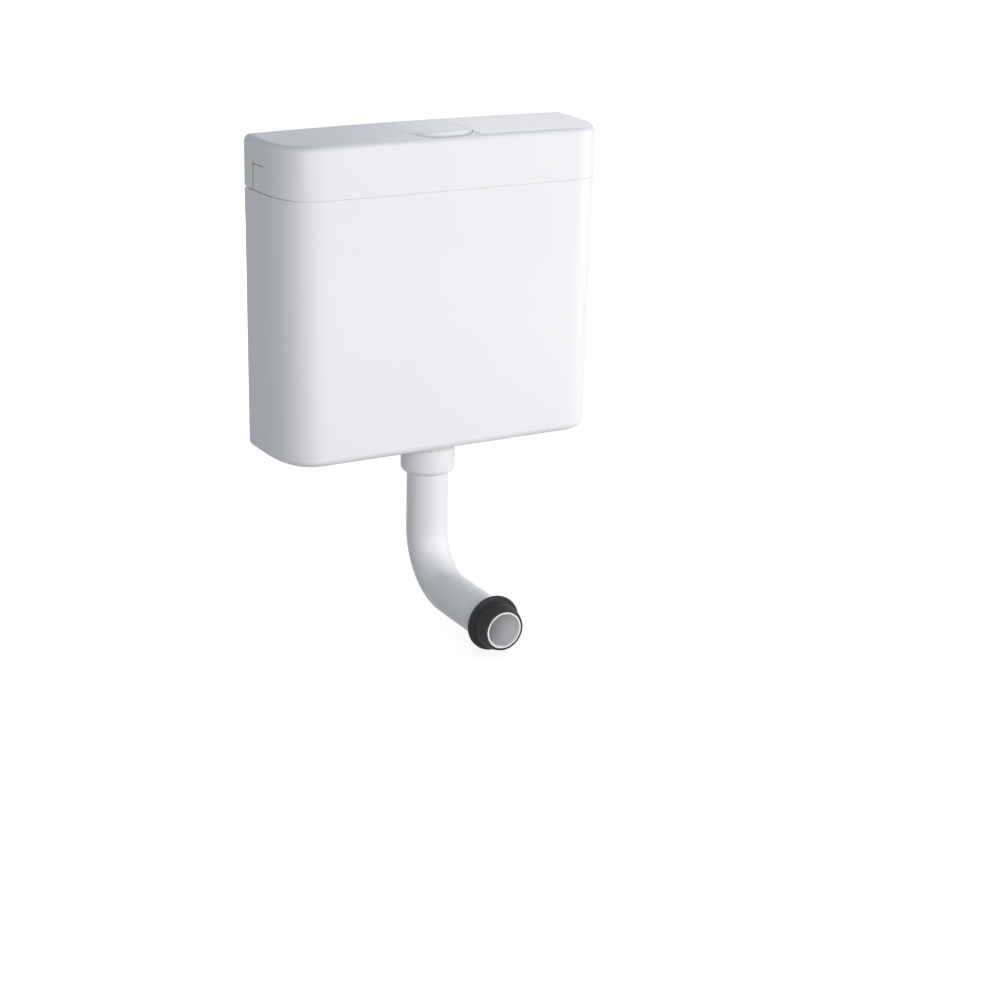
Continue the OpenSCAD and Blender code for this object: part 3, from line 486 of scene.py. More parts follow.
def fit(piece, node, slot, angle=32):
    """Brings a piece to metres, smooths it, gives it its finish and puts it in its CAD node's place."""
    choose(piece)
    piece.data.transform(Matrix.Scale(MM, 4))
    bpy.ops.object.shade_smooth_by_angle(angle=math.radians(angle))
    shape(piece, "WEIGHTED_NORMAL", keep_sharp=True)
    piece.data.materials.clear()
    piece.data.materials.append(finishes[slot])
    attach(piece, home[node])
    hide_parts(node)
    print(piece.name, "for", node, "faces", len(piece.data.polygons))


# %% Blocks, cuts and soft edges
def block(name, low, high):
    """A cube stretched between two corners, left in edit mode."""
    clear()
    bpy.ops.mesh.primitive_cube_add(size=1)
    piece = bpy.context.object
    piece.name = name
    bpy.ops.object.mode_set(mode="EDIT")
    bpy.ops.mesh.select_all(action="SELECT")
    bpy.ops.transform.resize(value=Vector(high) - Vector(low))
    bpy.ops.transform.translate(value=(Vector(high) + Vector(low)) / 2)
    return piece


def rounded(name, low, high, radius, along, test=None, ease=0.0):
    """A block whose edges along one axis are round, and whose other edges may be eased."""
    piece = block(name, low, high)
    pick("EDGE", lambda e: run(e)["XYZ".index(along)] > 0.9 and (test is None or test(middle(e))))
    bevel(radius, 6)
    bpy.ops.object.mode_set(mode="OBJECT")
    return soften(piece, ease) if ease else piece


def carve(piece, *tools, operation="DIFFERENCE"):
    """Cuts tools out of a piece and takes them away. Faces that a cut left ring-shaped are split."""
    for tool in tools:
        shape(piece, "BOOLEAN", object=tool, operation=operation, solver="EXACT")
        shape(piece, "TRIANGULATE", min_vertices=5)
        bpy.data.objects.remove(tool)
    return piece


def weld(piece, *tools):
    """Joins tools on to a piece, as one skin."""
    return carve(piece, *tools, operation="UNION")


def thicken(piece, wall):
    """Gives a shell its wall, inwards."""
    return shape(piece, "SOLIDIFY", thickness=wall, offset=-1, use_even_offset=True)


def soften(piece, width, angle=35):
    """Rounds every sharp edge by a small width."""
    return shape(piece, "BEVEL", width=width, segments=2, limit_method="ANGLE",
                 angle_limit=math.radians(angle), miter_outer="MITER_ARC")


print("helpers ready")

# %% [markdown]
# ## Turned pieces
# Nuts, tubes, seals and pins are round. Their half outline is traced vertex by vertex, like a
# template for a lathe, and spun about the axis. Corners of the outline can be eased by a radius, so
# that every edge catches a little light. Threads and finger grips are then pressed into the turned
# skin: each vertex moves towards the axis by an amount that depends on its height and angle.


# %% Lathe
ACROSS = {"X": Vector((0, 1, 0)), "Y": Vector((0, 0, 1)), "Z": Vector((1, 0, 0))}
ALONG = {"X": Vector((1, 0, 0)), "Y": Vector((0, 1, 0)), "Z": Vector((0, 0, 1))}
EASE_STEPS = 4


def eased(outline):
    """Rounds the corners of an outline that carry a third number, their radius."""
    made = []
    for i, corner in enumerate(outline):
        point = Vector(corner[:2])
        if len(corner) == 2:
            made.append(point)
            continue
        before = (Vector(outline[i - 1][:2]) - point).normalized()
        after = (Vector(outline[(i + 1) % len(outline)][:2]) - point).normalized()
        half = before.angle(after) / 2
        centre = point + (before + after).normalized() * (corner[2] / math.sin(half))
        start = point + before * (corner[2] / math.tan(half)) - centre
        end = point + after * (corner[2] / math.tan(half)) - centre
        for k in range(EASE_STEPS + 1):
            made.append(centre + start.lerp(end, k / EASE_STEPS).normalized() * corner[2])
    return made


def turned(name, outline, base, axis="Z", closed=True, steps=64):
    """Spins an outline of (radius, height) pairs about an axis through base."""
    points = [Vector(base) + ALONG[axis] * p.y + ACROSS[axis] * p.x for p in eased(outline)]
    if closed:
        points.append(points[0])
    clear()
    bpy.ops.mesh.primitive_plane_add(size=1)
    piece = bpy.context.object
    piece.name = name
    bpy.ops.object.mode_set(mode="EDIT")
    bpy.ops.mesh.select_mode(type="VERT")
    bpy.ops.mesh.select_all(action="SELECT")
    bpy.ops.mesh.merge(type="CENTER")
    bpy.ops.transform.translate(value=points[0])
    for near, far in zip(points, points[1:]):
        bpy.ops.mesh.extrude_vertices_move(TRANSFORM_OT_translate={"value": far - near})
    bpy.ops.mesh.select_all(action="SELECT")
    bpy.ops.mesh.spin(steps=steps, angle=2 * math.pi, center=base, axis=ALONG[axis])
    bpy.ops.mesh.select_all(action="SELECT")
    bpy.ops.mesh.remove_doubles(threshold=0.002)
    bpy.ops.mesh.normals_make_consistent(inside=False)
    bpy.ops.object.mode_set(mode="OBJECT")
    return piece


def rod(name, radius, low, high, base, axis="Z", ease=0.0, steps=48):
    """A round bar, also used as a drill."""
    corners = [(0, low), (radius, low, ease), (radius, high, ease), (0, high)]
    return turned(name, corners if ease else [c[:2] for c in corners], base, axis, False, steps)


def ring(name, node, bore, base, axis="Z", ease=(0.4, 0.6), steps=64):
    """A plain ring as wide and as long as its CAD node, eased at its bore and its rim."""
    outer, low, high = ends(node, base, axis)
    inner, rim = ease
    return turned(name, [(bore, low, inner), (outer, low, rim), (outer, high, rim), (bore, high, inner)],
                  base, axis, steps=steps)


print("lathe ready")


# %% Grips and threads
def press(piece, base, axis, depth):
    """Moves each vertex towards the axis by depth(height, radius, angle)."""
    along, side = ALONG[axis], ACROSS[axis]
    for vertex in piece.data.vertices:
        local = vertex.co - Vector(base)
        height = local.dot(along)
        out = local - along * height
        if out.length > 0.01:
            angle = math.atan2(out.dot(along.cross(side)), out.dot(side))
            vertex.co -= out.normalized() * depth(height, out.length, angle)
    return piece


def flute(piece, base, axis, rim, count, depth):
    """Presses finger grooves into everything that lies outside the rim radius."""
    return press(piece, base, axis, lambda height, radius, angle:
                 depth * (0.5 - 0.5 * math.cos(count * angle)) if radius > rim else 0)


def rings(radius, low, high, pitch):
    """Outline points close enough together to carry a thread."""
    count = round((high - low) / pitch * 6)
    return [(radius, low + (high - low) * k / count) for k in range(count + 1)]


def thread(piece, base, axis, crest, low, high, pitch, depth):
    """Presses a screw thread that fades out at both ends."""
    def groove(height, radius, angle):
        if radius < crest - 0.01 or not low < height < high:
            return 0
        fade = min(1, (height - low) / pitch, (high - height) / pitch)
        return depth * fade * abs(2 * ((height / pitch + angle / (2 * math.pi)) % 1) - 1)

    return press(piece, base, axis, groove)


print("grips and threads ready")

# %% [markdown]
# ## The plan of tank and lid
# Seen from above, tank and lid are a long D: flat at the wall, with front corners that run far
# back along the sides. Such a corner isn't round but lies between an ellipse and a rectangle. A
# bevel makes it in one step: its profile value sets how square the curve is. A bevel is equally
# long on both sides, so the block is squeezed first and stretched back after.

# %% Soft-cornered block
tank_low, tank_high = span("cistern_body")
HALF, DEPTH = tank_high.x, -tank_low.y
CORNER_X, CORNER_Y = 50.0, 85.0
CORNER_POWER = 2.6
CORNER_STEPS = 22


def soft_block(name, inset, wall_gap, low, high):
    """The plan outline, drawn in by inset, as a block from one level to another."""
    stretch = (CORNER_Y - inset) / (CORNER_X - inset)
    piece = block(name, (inset - HALF, (inset - DEPTH) / stretch, low), (HALF - inset, 0, high))
    pick("EDGE", lambda e: run(e).z > 0.9 and middle(e).y < -1)
    bevel(CORNER_X - inset, CORNER_STEPS, 2 ** (-2 / CORNER_POWER))
    bpy.ops.mesh.select_all(action="SELECT")
    bpy.ops.transform.resize(value=(1, stretch, 1), center_override=(0, 0, 0))
    pick("VERT", lambda v: v.co.y > -0.01)
    bpy.ops.transform.translate(value=(0, -wall_gap, 0))
    return piece


def round_rim(level, radius, steps, back_too=False):
    """Rounds the edge round the block's end at a level."""
    pick("EDGE", lambda e: abs(middle(e).z - level) < 0.01 and run(e).z < 0.1
         and (back_too or run(e).x < 0.999 or middle(e).y < -50))
    bevel(radius, steps)


print("plan:", 2 * HALF, "by", DEPTH, "mm")

# %% [markdown]
# ## The lid
# The lid is a deep cover whose edge stops just above the tank, so that a dark line shows between
# them. Towards the front the edge reaches lower and the line fades. The top is crowned by two
# millimetres, which keeps water from standing on it. The lid is made as a solid block with a round
# upper edge, sliced into strips so that the crown can bend it, and only then hollowed. Ribs and
# screw bosses follow, and the openings are cut last, as in the mould.

# %% Lid form
lid_low, lid_high = span("lid")
LID_WALL, LID_ROUND, LID_CROWN, CROWN_FROM = 3.0, 8.0, 2.0, 60.0
STRIPS, STRIP = 8, 20.5
EDGE_ROUND, SEAM_CLOSE, CLOSE_FROM = 0.3, 1.05, 45.0
lid = soft_block("lid_cover", 0, 0, lid_low.z, lid_high.z)
round_rim(lid_high.z, LID_ROUND, 8)
bpy.ops.mesh.select_mode(type="FACE")
for strip in range(-STRIPS, STRIPS + 1):
    bpy.ops.mesh.select_all(action="SELECT")
    bpy.ops.mesh.bisect(plane_co=(strip * STRIP, 0, 0), plane_no=(1, 0, 0))
bpy.ops.object.mode_set(mode="OBJECT")
for vertex in lid.data.vertices:
    share = max(0.0, (vertex.co.z - CROWN_FROM) / (lid_high.z - CROWN_FROM))
    vertex.co.z -= LID_CROWN * (vertex.co.x / HALF) ** 2 * share
choose(lid, "EDIT")
pick("FACE", lambda f: f.normal.z < -0.9)
bpy.ops.mesh.delete(type="FACE")
thicken(lid, LID_WALL)
choose(lid, "EDIT")
pick("EDGE", lambda e: abs(middle(e).z - lid_low.z) < 0.01 and run(e).z < 0.1)
bevel(EDGE_ROUND, 3)
bpy.ops.object.mode_set(mode="OBJECT")
for vertex in lid.data.vertices:
    if vertex.co.z < lid_low.z + 2 * EDGE_ROUND:
        ahead = max(0.0, (-vertex.co.y - CLOSE_FROM) / (DEPTH - CLOSE_FROM))
        vertex.co.z -= SEAM_CLOSE * ahead * ahead * (3 - 2 * ahead)
print("lid from", round(lid_low.z, 1), "to", round(lid_high.z, 1))

# %% Lid ribs and bosses
RIB, RIB_LOW, RIB_HIGH = 2.5, 54.3, 76.5
RIB_PLACES = ((60, -2, -10), (165, -2, -10), (110, -102, -110))
BOSS_X, BOSS_Y = 49.5, (-47.5, -87.5)
BOSS_R, BOSS_BORE, BOSS_LOW, BOSS_TOP = 5, 1.95, 67.3, 79
screw_low, screw_high = span("frame_screws")
bosses = [(side * BOSS_X, y, 0) for side in (-1, 1) for y in BOSS_Y]
for x, near, far in RIB_PLACES:
    for side in (-1, 1):
        weld(lid, block("rib", (side * x - RIB / 2, far, RIB_LOW), (side * x + RIB / 2, near, RIB_HIGH)))
for place in bosses:
    weld(lid, rod("boss", BOSS_R, BOSS_LOW, BOSS_TOP, place, steps=32))
    carve(lid, rod("boss_hole", BOSS_BORE, screw_low.z, screw_high.z, place, steps=24))
print("lid faces", len(lid.data.polygons))

# %% Lid openings
key_low, key_high = span("flush_button")
KEY_HALF, KEY_FRONT = key_high.x, key_low.y
KEY_BACK, KEY_CORNER = -38.5, 27.0
SIDE_GAP, FRONT_GAP = 0.35, 0.75
SCOOP, SCOOP_HALF, SCOOP_BACK, SCOOP_ROUND = 1.8, 49.7, 17.5, 20.0
SLIT, SLIT_DRAFT, SLIT_DEPTH = 1.2, 10.0, 5.0
TAB_BACK, TAB_FRONT, TAB_TOP = -24.0, -51.0, 50.5
CHAMFER, CHAMFER_REACH = 2.5, 7.0
CLEAR = 2.0


def key_block(name, side, behind, front, low, high):
    """The key's outline as a block: square at the back and round at the front corners."""
    piece = block(name, (-KEY_HALF - side, KEY_FRONT - front, low),
                  (KEY_HALF + side, KEY_BACK + behind, high))
    pick("EDGE", lambda e: run(e).z > 0.9 and middle(e).y < KEY_FRONT + 5)
    bevel(KEY_CORNER, 14)
    return piece


carve(lid, key_block("opening", SIDE_GAP, SIDE_GAP, FRONT_GAP, key_low.z, key_high.z + CLEAR))
carve(lid, rounded("finger_scoop", (-SCOOP_HALF, -DEPTH - CLEAR, lid_high.z - SCOOP),
                   (SCOOP_HALF, KEY_FRONT + SCOOP_BACK, lid_high.z + 2.5 * SCOOP_ROUND), SCOOP_ROUND, "Y"))

# The slit widens inwards from just outside the wall. No edge of it lies in the wall's own face.
slit = block("tab_slit", (-HALF - 0.06, TAB_BACK - SLIT / 2, lid_low.z - CLEAR),
             (-HALF + SLIT_DEPTH, TAB_BACK + SLIT / 2, TAB_TOP + SLIT / 2))
pick("FACE", lambda f: f.normal.x < -0.9)
bpy.ops.mesh.extrude_region_move(TRANSFORM_OT_translate={"value": (-CLEAR, 0, 0)})
pick("EDGE", lambda e: run(e).z > 0.9 and middle(e).x > -HALF + 4 and middle(e).y > TAB_BACK)
bpy.ops.transform.translate(value=(0, SLIT_DRAFT, 0))
shape(lid, "TRIANGULATE", min_vertices=4)
carve(lid, slit)
carve(lid, block("tab_top_slit", (-HALF - CLEAR, TAB_FRONT, TAB_TOP - SLIT / 2),
                 (-HALF + 6, TAB_BACK + 0.1, TAB_TOP + SLIT / 2 - 0.1)))
carve(lid, rounded("supply_cut", (HALF - SLIT_DEPTH, TAB_FRONT, lid_low.z - 9),
                   (HALF + CLEAR, TAB_BACK, TAB_TOP), 3, "X"))
half = CHAMFER / math.sqrt(2)
for side in (-1, 1):
    notch = block("rear_chamfer", (-CHAMFER_REACH, -half, -half), (CHAMFER_REACH, half, half))
    bpy.ops.object.mode_set(mode="OBJECT")
    corner = Matrix.Translation((side * HALF, 0.07, lid_low.z - 0.13))
    notch.data.transform(corner @ Matrix.Rotation(math.pi / 4, 4, "X"))
    carve(lid, notch)
fit(lid, "lid", "shell_white")

# %% [markdown]
# ## The tank
# The tank is one moulding: a tub with a rounded lower edge that draws in slightly towards its
# floor, a narrow shoulder at the seam and a collar that rises inside the lid. It could be built
# from separate walls, but drawing inset and extruded steps out of one block keeps it a single
# closed skin, as it is in the mould.


# %% Tank form
def step_up(height):
    """Extrudes the selection upwards, or downwards by a negative height."""
    bpy.ops.mesh.extrude_region_move(TRANSFORM_OT_translate={"value": (0, 0, height)})


SEAM, COLLAR_TOP, TANK_FLOOR = 20.0, tank_high.z, tank_low.z
COLLAR_INSET, WALL, DRAFT = 3.5, 3.0, 1.5
FLOOR_ROUND, INNER_ROUND, COLLAR_ROUND = 10, 7, 0.6
TAPER = (1 - DRAFT / HALF, 1 - DRAFT / DEPTH, 1)
tank = soft_block("tank_shell", 0, 0, TANK_FLOOR, SEAM)
pick("VERT", lambda v: v.co.z < TANK_FLOOR + 1)
bpy.ops.transform.resize(value=TAPER, center_override=(0, 0, 0))
round_rim(TANK_FLOOR, FLOOR_ROUND, 8)
pick("FACE", lambda f: f.normal.z > 0.9)
bpy.ops.mesh.inset(thickness=COLLAR_INSET)
step_up(COLLAR_TOP - SEAM)
bpy.ops.mesh.inset(thickness=WALL)
step_up(SEAM - WALL - COLLAR_TOP)
step_up(-COLLAR_INSET)
inside, neck = WALL + 0.1, COLLAR_INSET + WALL
CAVITY = ((HALF - inside) / (HALF - neck), (DEPTH - 2 * inside) / (DEPTH - 2 * neck), 1)
bpy.ops.transform.resize(value=CAVITY, center_override=(0, -DEPTH / 2, 0))
step_up(TANK_FLOOR + WALL - SEAM + WALL + COLLAR_INSET)
bpy.ops.transform.resize(value=TAPER, center_override=(0, 0, 0))
round_rim(TANK_FLOOR + WALL, INNER_ROUND, 6)
round_rim(SEAM, EDGE_ROUND, 3, True)
round_rim(COLLAR_TOP, COLLAR_ROUND, 3, True)
print("tank levels", TANK_FLOOR, SEAM, COLLAR_TOP)

# %% Tank holes
FIXING_X, FIXING_R, PAD_R, PAD_T = 100, 4.25, 14, 8
SUPPLY_PAD_R, SUPPLY_PAD_T, SUPPLY_HOLE_R = 15, 3.5, 8.63
SPIGOT_ROOM = 29.7
side_face = HALF - COLLAR_INSET
pad_middle = side_face - WALL + 0.25
bridge_low, bridge_high = span("lever_bridge")
for side in (-1, 1):
    weld(tank, rod("pad", PAD_R, -PAD_T, -WALL / 2, (side * FIXING_X, 0, 0), "Y"))
    weld(tank, rod("supply_pad", SUPPLY_PAD_R, side * pad_middle - SUPPLY_PAD_T / 2,
                   side * pad_middle + SUPPLY_PAD_T / 2, SUPPLY, "X"))
for side in (-1, 1):
    carve(tank, rod("fixing_hole", FIXING_R, -PAD_T - CLEAR, CLEAR, (side * FIXING_X, 0, 0), "Y"),
          rod("supply_hole", SUPPLY_HOLE_R, side * side_face - 10, side * side_face + 10, SUPPLY, "X"))
carve(tank, rod("outlet_hole", SPIGOT_ROOM, TANK_FLOOR - CLEAR, TANK_FLOOR + WALL + CLEAR, OUTLET, steps=64))
carve(tank, block("bridge_notch", (bridge_low.x - 0.5, -DEPTH - 1, bridge_low.z - 0.2),
                  (bridge_high.x + 0.5, 1, COLLAR_TOP + CLEAR)))
fit(tank, "cistern_body", "shell_white")

# %% [markdown]
# ## The flush key
# The key is a plate let into the lid. It is level at its hinge and sweeps up to a lip that the
# finger finds at the front. The sweep needs cross lines to bend along, so the block is sliced
# before its top is lifted. A smaller block of the same form hollows it.

# %% Key form
LID_TOP = lid_high.z
KEY_SKIRT, KEY_RISE, KEY_LIP = 73.0, -63.5, key_high.z - LID_TOP
KEY_STRIPS, KEY_STRIP = 13, 2.9
KEY_WALL, KEY_EDGE, KEY_LEAN = 2.5, 0.9, 1.0


def key_solid(name, inset, drop, low):
    """The key's solid form with its sides drawn in and its top lowered."""
    piece = key_block(name, -inset, -inset, -inset, low, LID_TOP - drop)
    for strip in range(KEY_STRIPS):
        bpy.ops.mesh.select_all(action="SELECT")
        bpy.ops.mesh.bisect(plane_co=(0, KEY_RISE - KEY_STRIP * strip, 0), plane_no=(0, 1, 0))
    bpy.ops.object.mode_set(mode="OBJECT")
    for vertex in piece.data.vertices:
        if vertex.co.z > low + 1:
            sweep = max(0.0, (KEY_RISE - vertex.co.y) / (KEY_RISE - KEY_FRONT))
            vertex.co.z += KEY_LIP * sweep * sweep
            vertex.co.y += KEY_LEAN * sweep ** 6
    return piece


key = key_solid("flush_key", 0, 0, KEY_SKIRT)
choose(key, "EDIT")
pick("EDGE", lambda e: e.calc_face_angle() > 0.9 and middle(e).z > LID_TOP - 1)
bevel(KEY_EDGE, 4)
carve(key, key_solid("key_hollow", KEY_WALL, KEY_WALL, KEY_SKIRT - 3))
print("key faces", len(key.data.polygons))

# %% Key ears and push boss
EAR_X, EAR_HALF, EAR_REACH = 36.9, 1.9, 5.0
PIN_ROOM, DRILL = 2.05, 50
PUSH_R, PUSH_BOSS_R, PUSH_BOSS_TOP, PUSH_BORE_TOP = 3.05, 6.5, 79.7, 78.4
for side in (-1, 1):
    ear_left, ear_right = side * EAR_X - EAR_HALF, side * EAR_X + EAR_HALF
    ear = rounded("ear", (ear_left, HINGE[1] - EAR_REACH, HINGE[2] - EAR_REACH),
                  (ear_right, HINGE[1] + EAR_REACH, LID_TOP - 4.5), EAR_REACH - 0.1, "X",
                  lambda m: m.z < HINGE[2] - 2)
    weld(ear, block("ear_root", (ear_left + 0.1, HINGE[1] - EAR_REACH - 0.5, HINGE[2] + 2),
                    (ear_right - 0.1, KEY_BACK - 0.9, LID_TOP - 1)))
    weld(key, ear)
carve(key, rod("hinge_hole", PIN_ROOM, -DRILL, DRILL, HINGE, "X"))
weld(key, rod("push_boss", PUSH_BOSS_R, key_low.z, PUSH_BOSS_TOP, PUSH))
carve(key, rod("push_thread", PUSH_R, key_low.z - CLEAR, PUSH_BORE_TOP, PUSH))
fit(key, "flush_button", "shell_white")

# %% [markdown]
# ## Below the tank
# A smooth round nut clamps the flush pipe to the outlet. The pipe drops, turns forward in one
# sweep and ends in a slimmer tip with a rubber cone pushed over it. The pipe is a ring of edges
# that is extruded, spun round the bend and extruded again, the way such a pipe is drawn.

# %% Coupling nut
NUT_R, NUT_LOW, _ = ends("coupling_nut", OUTLET)
RING_R, RING_LOW, RING_HIGH = ends("outlet_back_nut", OUTLET)
SEAL_R, SEAL_LOW, SEAL_HIGH = ends("cone_seal", OUTLET)
pipe_low, pipe_high = span("flush_bend")
PIPE_R = pipe_high.x
PIPE_ROOM, NUT_BELL, JOINT = PIPE_R + 0.3, 7.0, 0.2
nut_top = RING_LOW - JOINT
nut = turned("coupling_nut_bell", [
    (SPIGOT_ROOM, nut_top), (SPIGOT_ROOM, SEAL_LOW), (PIPE_ROOM, SEAL_LOW, 0.5),
    (PIPE_ROOM, NUT_LOW, 0.8), (NUT_R, NUT_LOW, NUT_BELL), (NUT_R, nut_top, JOINT),
], OUTLET, steps=96)
fit(nut, "coupling_nut", "shell_white")

# %% Flush pipe
BEND, STRAIGHT, STEP_IN, TIP_LENGTH = 65, 30, 10, 32
TIP_R, PIPE_WALL = 22, 2.2
bend_y, bend_z = OUTLET[1] - BEND, TIP[2] + BEND
tip_y = pipe_low.y + TIP_LENGTH
clear()
bpy.ops.mesh.primitive_circle_add(vertices=72, radius=PIPE_R)
pipe = bpy.context.object
pipe.name = "flush_pipe"
bpy.ops.object.mode_set(mode="EDIT")
bpy.ops.mesh.select_mode(type="VERT")
bpy.ops.mesh.select_all(action="SELECT")
bpy.ops.transform.translate(value=(0, OUTLET[1], pipe_high.z))
step_up(-STRAIGHT)
step_up(bend_z - pipe_high.z + STRAIGHT)
bpy.ops.mesh.spin(steps=24, angle=math.pi / 2, center=(0, bend_y, bend_z), axis=(1, 0, 0))
for reach in (tip_y + STEP_IN - bend_y, -STEP_IN, -TIP_LENGTH):
    bpy.ops.mesh.extrude_region_move(TRANSFORM_OT_translate={"value": (0, reach, 0)})
    if reach == -STEP_IN:
        slim = (TIP_R / PIPE_R, 1, TIP_R / PIPE_R)
        bpy.ops.transform.resize(value=slim, center_override=(0, tip_y, TIP[2]))
bpy.ops.mesh.select_all(action="SELECT")
bpy.ops.mesh.remove_doubles(threshold=0.01)
bpy.ops.mesh.normals_make_consistent(inside=False)
thicken(pipe, PIPE_WALL)
soften(pipe, 0.5, 50)
fit(pipe, "flush_bend", "shell_white", 40)

# %% Rubber cone
FLANGE_R, CONE_LOW, CONE_HIGH = ends("flush_cone", TIP, "Y")
CONE_R, CONE_TIP_R, CONE_BORE = 27.5, 24.5, TIP_R + 0.05
FLANGE, GROOVE, LEAD_IN = 4, 0.5, 10
flange = CONE_HIGH - FLANGE
groove = flange - 4.5
cone = turned("flush_cone_rubber", [
    (CONE_BORE, CONE_HIGH), (FLANGE_R, CONE_HIGH, 1.2), (FLANGE_R, flange, 1.2), (CONE_R, flange, 1.0),
    (CONE_R, groove), (CONE_R - GROOVE, groove - GROOVE, 0.3), (CONE_R - GROOVE, groove - 5 * GROOVE, 0.3),
    (CONE_R, groove - 6 * GROOVE), (CONE_R, CONE_LOW + LEAD_IN, 1.5), (CONE_TIP_R, CONE_LOW, 1.0),
    (CONE_BORE, CONE_LOW),
], TIP, "Y", steps=72)
fit(cone, "flush_cone", "rubber_grey")

# %% [markdown]
# ## The foam lining
# A foam liner stands inside the tank and keeps its outside from sweating. It follows the tank's
# plan with a small gap, so the same soft block serves again. Its top is opened and its wall is
# grown inwards, and the outlet's hole is cut through its floor.

# %% Foam lining
LINING_GAP, LINING_WALL, LINING_EDGE, LINING_HOLE = 3.5, 4.0, 0.7, 39
LINING_TAPER = (0.9936, 0.9876, 1)
LINING_LOW, LINING_TOP = TANK_FLOOR + WALL + 0.1, span("insulation_liner")[1].z
lining = soft_block("foam_lining", LINING_GAP, LINING_GAP, LINING_LOW, LINING_TOP)
pick("VERT", lambda v: v.co.z < LINING_LOW + 1)
bpy.ops.transform.resize(value=LINING_TAPER, center_override=(0, -LINING_GAP, 0))
round_rim(LINING_LOW, INNER_ROUND, 6)
pick("FACE", lambda f: f.normal.z > 0.9)
bpy.ops.mesh.delete(type="FACE")
thicken(lining, LINING_WALL)
soften(lining, LINING_EDGE, 60)
carve(lining, rod("lining_hole", LINING_HOLE, LINING_LOW - CLEAR, LINING_LOW + LINING_WALL + CLEAR, OUTLET,
                  steps=72))
fit(lining, "insulation_liner", "liner_foam")

# %% [markdown]
# ## The outlet
# The seat is clamped through the tank's floor by a ring nut, with a flat gasket above the floor.
# Its lip is round, because the seal closes on it. The pipe is sealed below by a rubber ring
# with a sloping shoulder. All of them are turned.

# %% Seat, gasket, ring nut and pipe seal
SEAT_R, SEAT_LOW, SEAT_HIGH = ends("outlet_seat", OUTLET)
CAGE_R, CAGE_LOW, CAGE_HIGH = ends("valve_cage", OUTLET)
gasket_high = span("outlet_gasket")[1].z
SPIGOT_R, SPIGOT_BORE, LIP_R = 29.5, 24.5, 27.5
SPIGOT_PITCH, SPIGOT_GROOVE = 3, 0.9
thread_low, thread_high = SEAT_LOW + 0.8, TANK_FLOOR - 1.2
seat = turned("outlet_seat_ring", [
    (SPIGOT_BORE, SEAT_LOW, 0.6), (SPIGOT_R - 0.8, SEAT_LOW),
    *rings(SPIGOT_R, thread_low, thread_high, SPIGOT_PITCH), (SPIGOT_R, gasket_high),
    (SEAT_R, gasket_high, 0.5), (SEAT_R, CAGE_LOW, 0.8), (LIP_R, CAGE_LOW, 1.0),
    (LIP_R, SEAT_HIGH, 1.4), (SPIGOT_BORE, SEAT_HIGH, 1.4),
], OUTLET, steps=72)
thread(seat, OUTLET, "Z", SPIGOT_R, thread_low, thread_high, SPIGOT_PITCH, SPIGOT_GROOVE)
fit(seat, "outlet_seat", "fitting_white")

gasket = ring("outlet_gasket_ring", "outlet_gasket", SPIGOT_ROOM, OUTLET, ease=(0.6, 0.9), steps=72)
fit(gasket, "outlet_gasket", "rubber_grey")

ring_top = RING_HIGH - 0.05
ring_nut = turned("outlet_ring_nut", [
    (SPIGOT_ROOM, RING_LOW, 0.5), (RING_R, RING_LOW, JOINT), (RING_R, ring_top, 0.9),
    (SPIGOT_ROOM, ring_top, 0.5),
], OUTLET, steps=160)
flute(ring_nut, OUTLET, "Z", RING_R - 1.1, 20, 0.9)
fit(ring_nut, "outlet_back_nut", "fitting_white")

seal_bore, seal_rim = PIPE_R + 0.05, SEAL_R - 0.1
pipe_seal = turned("pipe_seal_ring", [
    (seal_bore, SEAL_LOW, 0.3), (seal_rim, SEAL_LOW, 0.6), (seal_rim, SEAL_LOW + 4, 0.6),
    (seal_rim - 2.2, SEAL_HIGH, 0.8), (seal_bore, SEAL_HIGH, 0.3),
], OUTLET, steps=72)
fit(pipe_seal, "cone_seal", "rubber_grey")

# %% [markdown]
# ## The flush valve
# A cage on the seat guides the valve: an overflow tube that carries a seal, its foot and a small
# hollow float. The cage's windows are cut right through it with round-cornered blocks. The rod on
# top hangs from a thumb nut, under which the lift fork reaches.

# %% Valve cage
CAGE_INSIDE, GUIDE_R, GUIDE_BORE = CAGE_R - 3.5, 14.4, 11.4
WINDOW, WINDOW_ROUND, REACH = 18, 7, 50
shoulder = CAGE_HIGH - 16
ceiling = shoulder - 4
sill, head = CAGE_LOW + 5, shoulder - 10
cage = turned("valve_basket", [
    (CAGE_INSIDE, CAGE_LOW), (CAGE_R, CAGE_LOW, 0.5), (CAGE_R, shoulder, 1.8), (GUIDE_R, shoulder, 1.2),
    (GUIDE_R, CAGE_HIGH, 0.8), (GUIDE_BORE, CAGE_HIGH, 0.6), (GUIDE_BORE, ceiling),
    (CAGE_INSIDE, ceiling, 2.0),
], OUTLET, steps=96)
carve(cage,
      rounded("window_x", (-REACH, OUTLET[1] - WINDOW, sill), (REACH, OUTLET[1] + WINDOW, head),
              WINDOW_ROUND, "X"),
      rounded("window_y", (-WINDOW, OUTLET[1] - REACH, sill - 0.1), (WINDOW, OUTLET[1] + REACH, head - 0.1),
              WINDOW_ROUND, "Y"))
soften(cage, 0.4, 50)
fit(cage, "valve_cage", "valve_grey")

# %% Overflow tube, foot, seal and valve float
TUBE_R, TUBE_LOW, TUBE_HIGH = ends("overflow_tube", OUTLET)
TUBE_BORE, TUBE_ROOM = 9.5, TUBE_R + 0.05
overflow = turned("overflow_pipe", [
    (TUBE_BORE, TUBE_LOW, 0.4), (TUBE_R, TUBE_LOW, 0.6),
    (TUBE_R, TUBE_HIGH, 0.7), (TUBE_BORE, TUBE_HIGH, 0.6),
], OUTLET)
fit(overflow, "overflow_tube", "fitting_white")

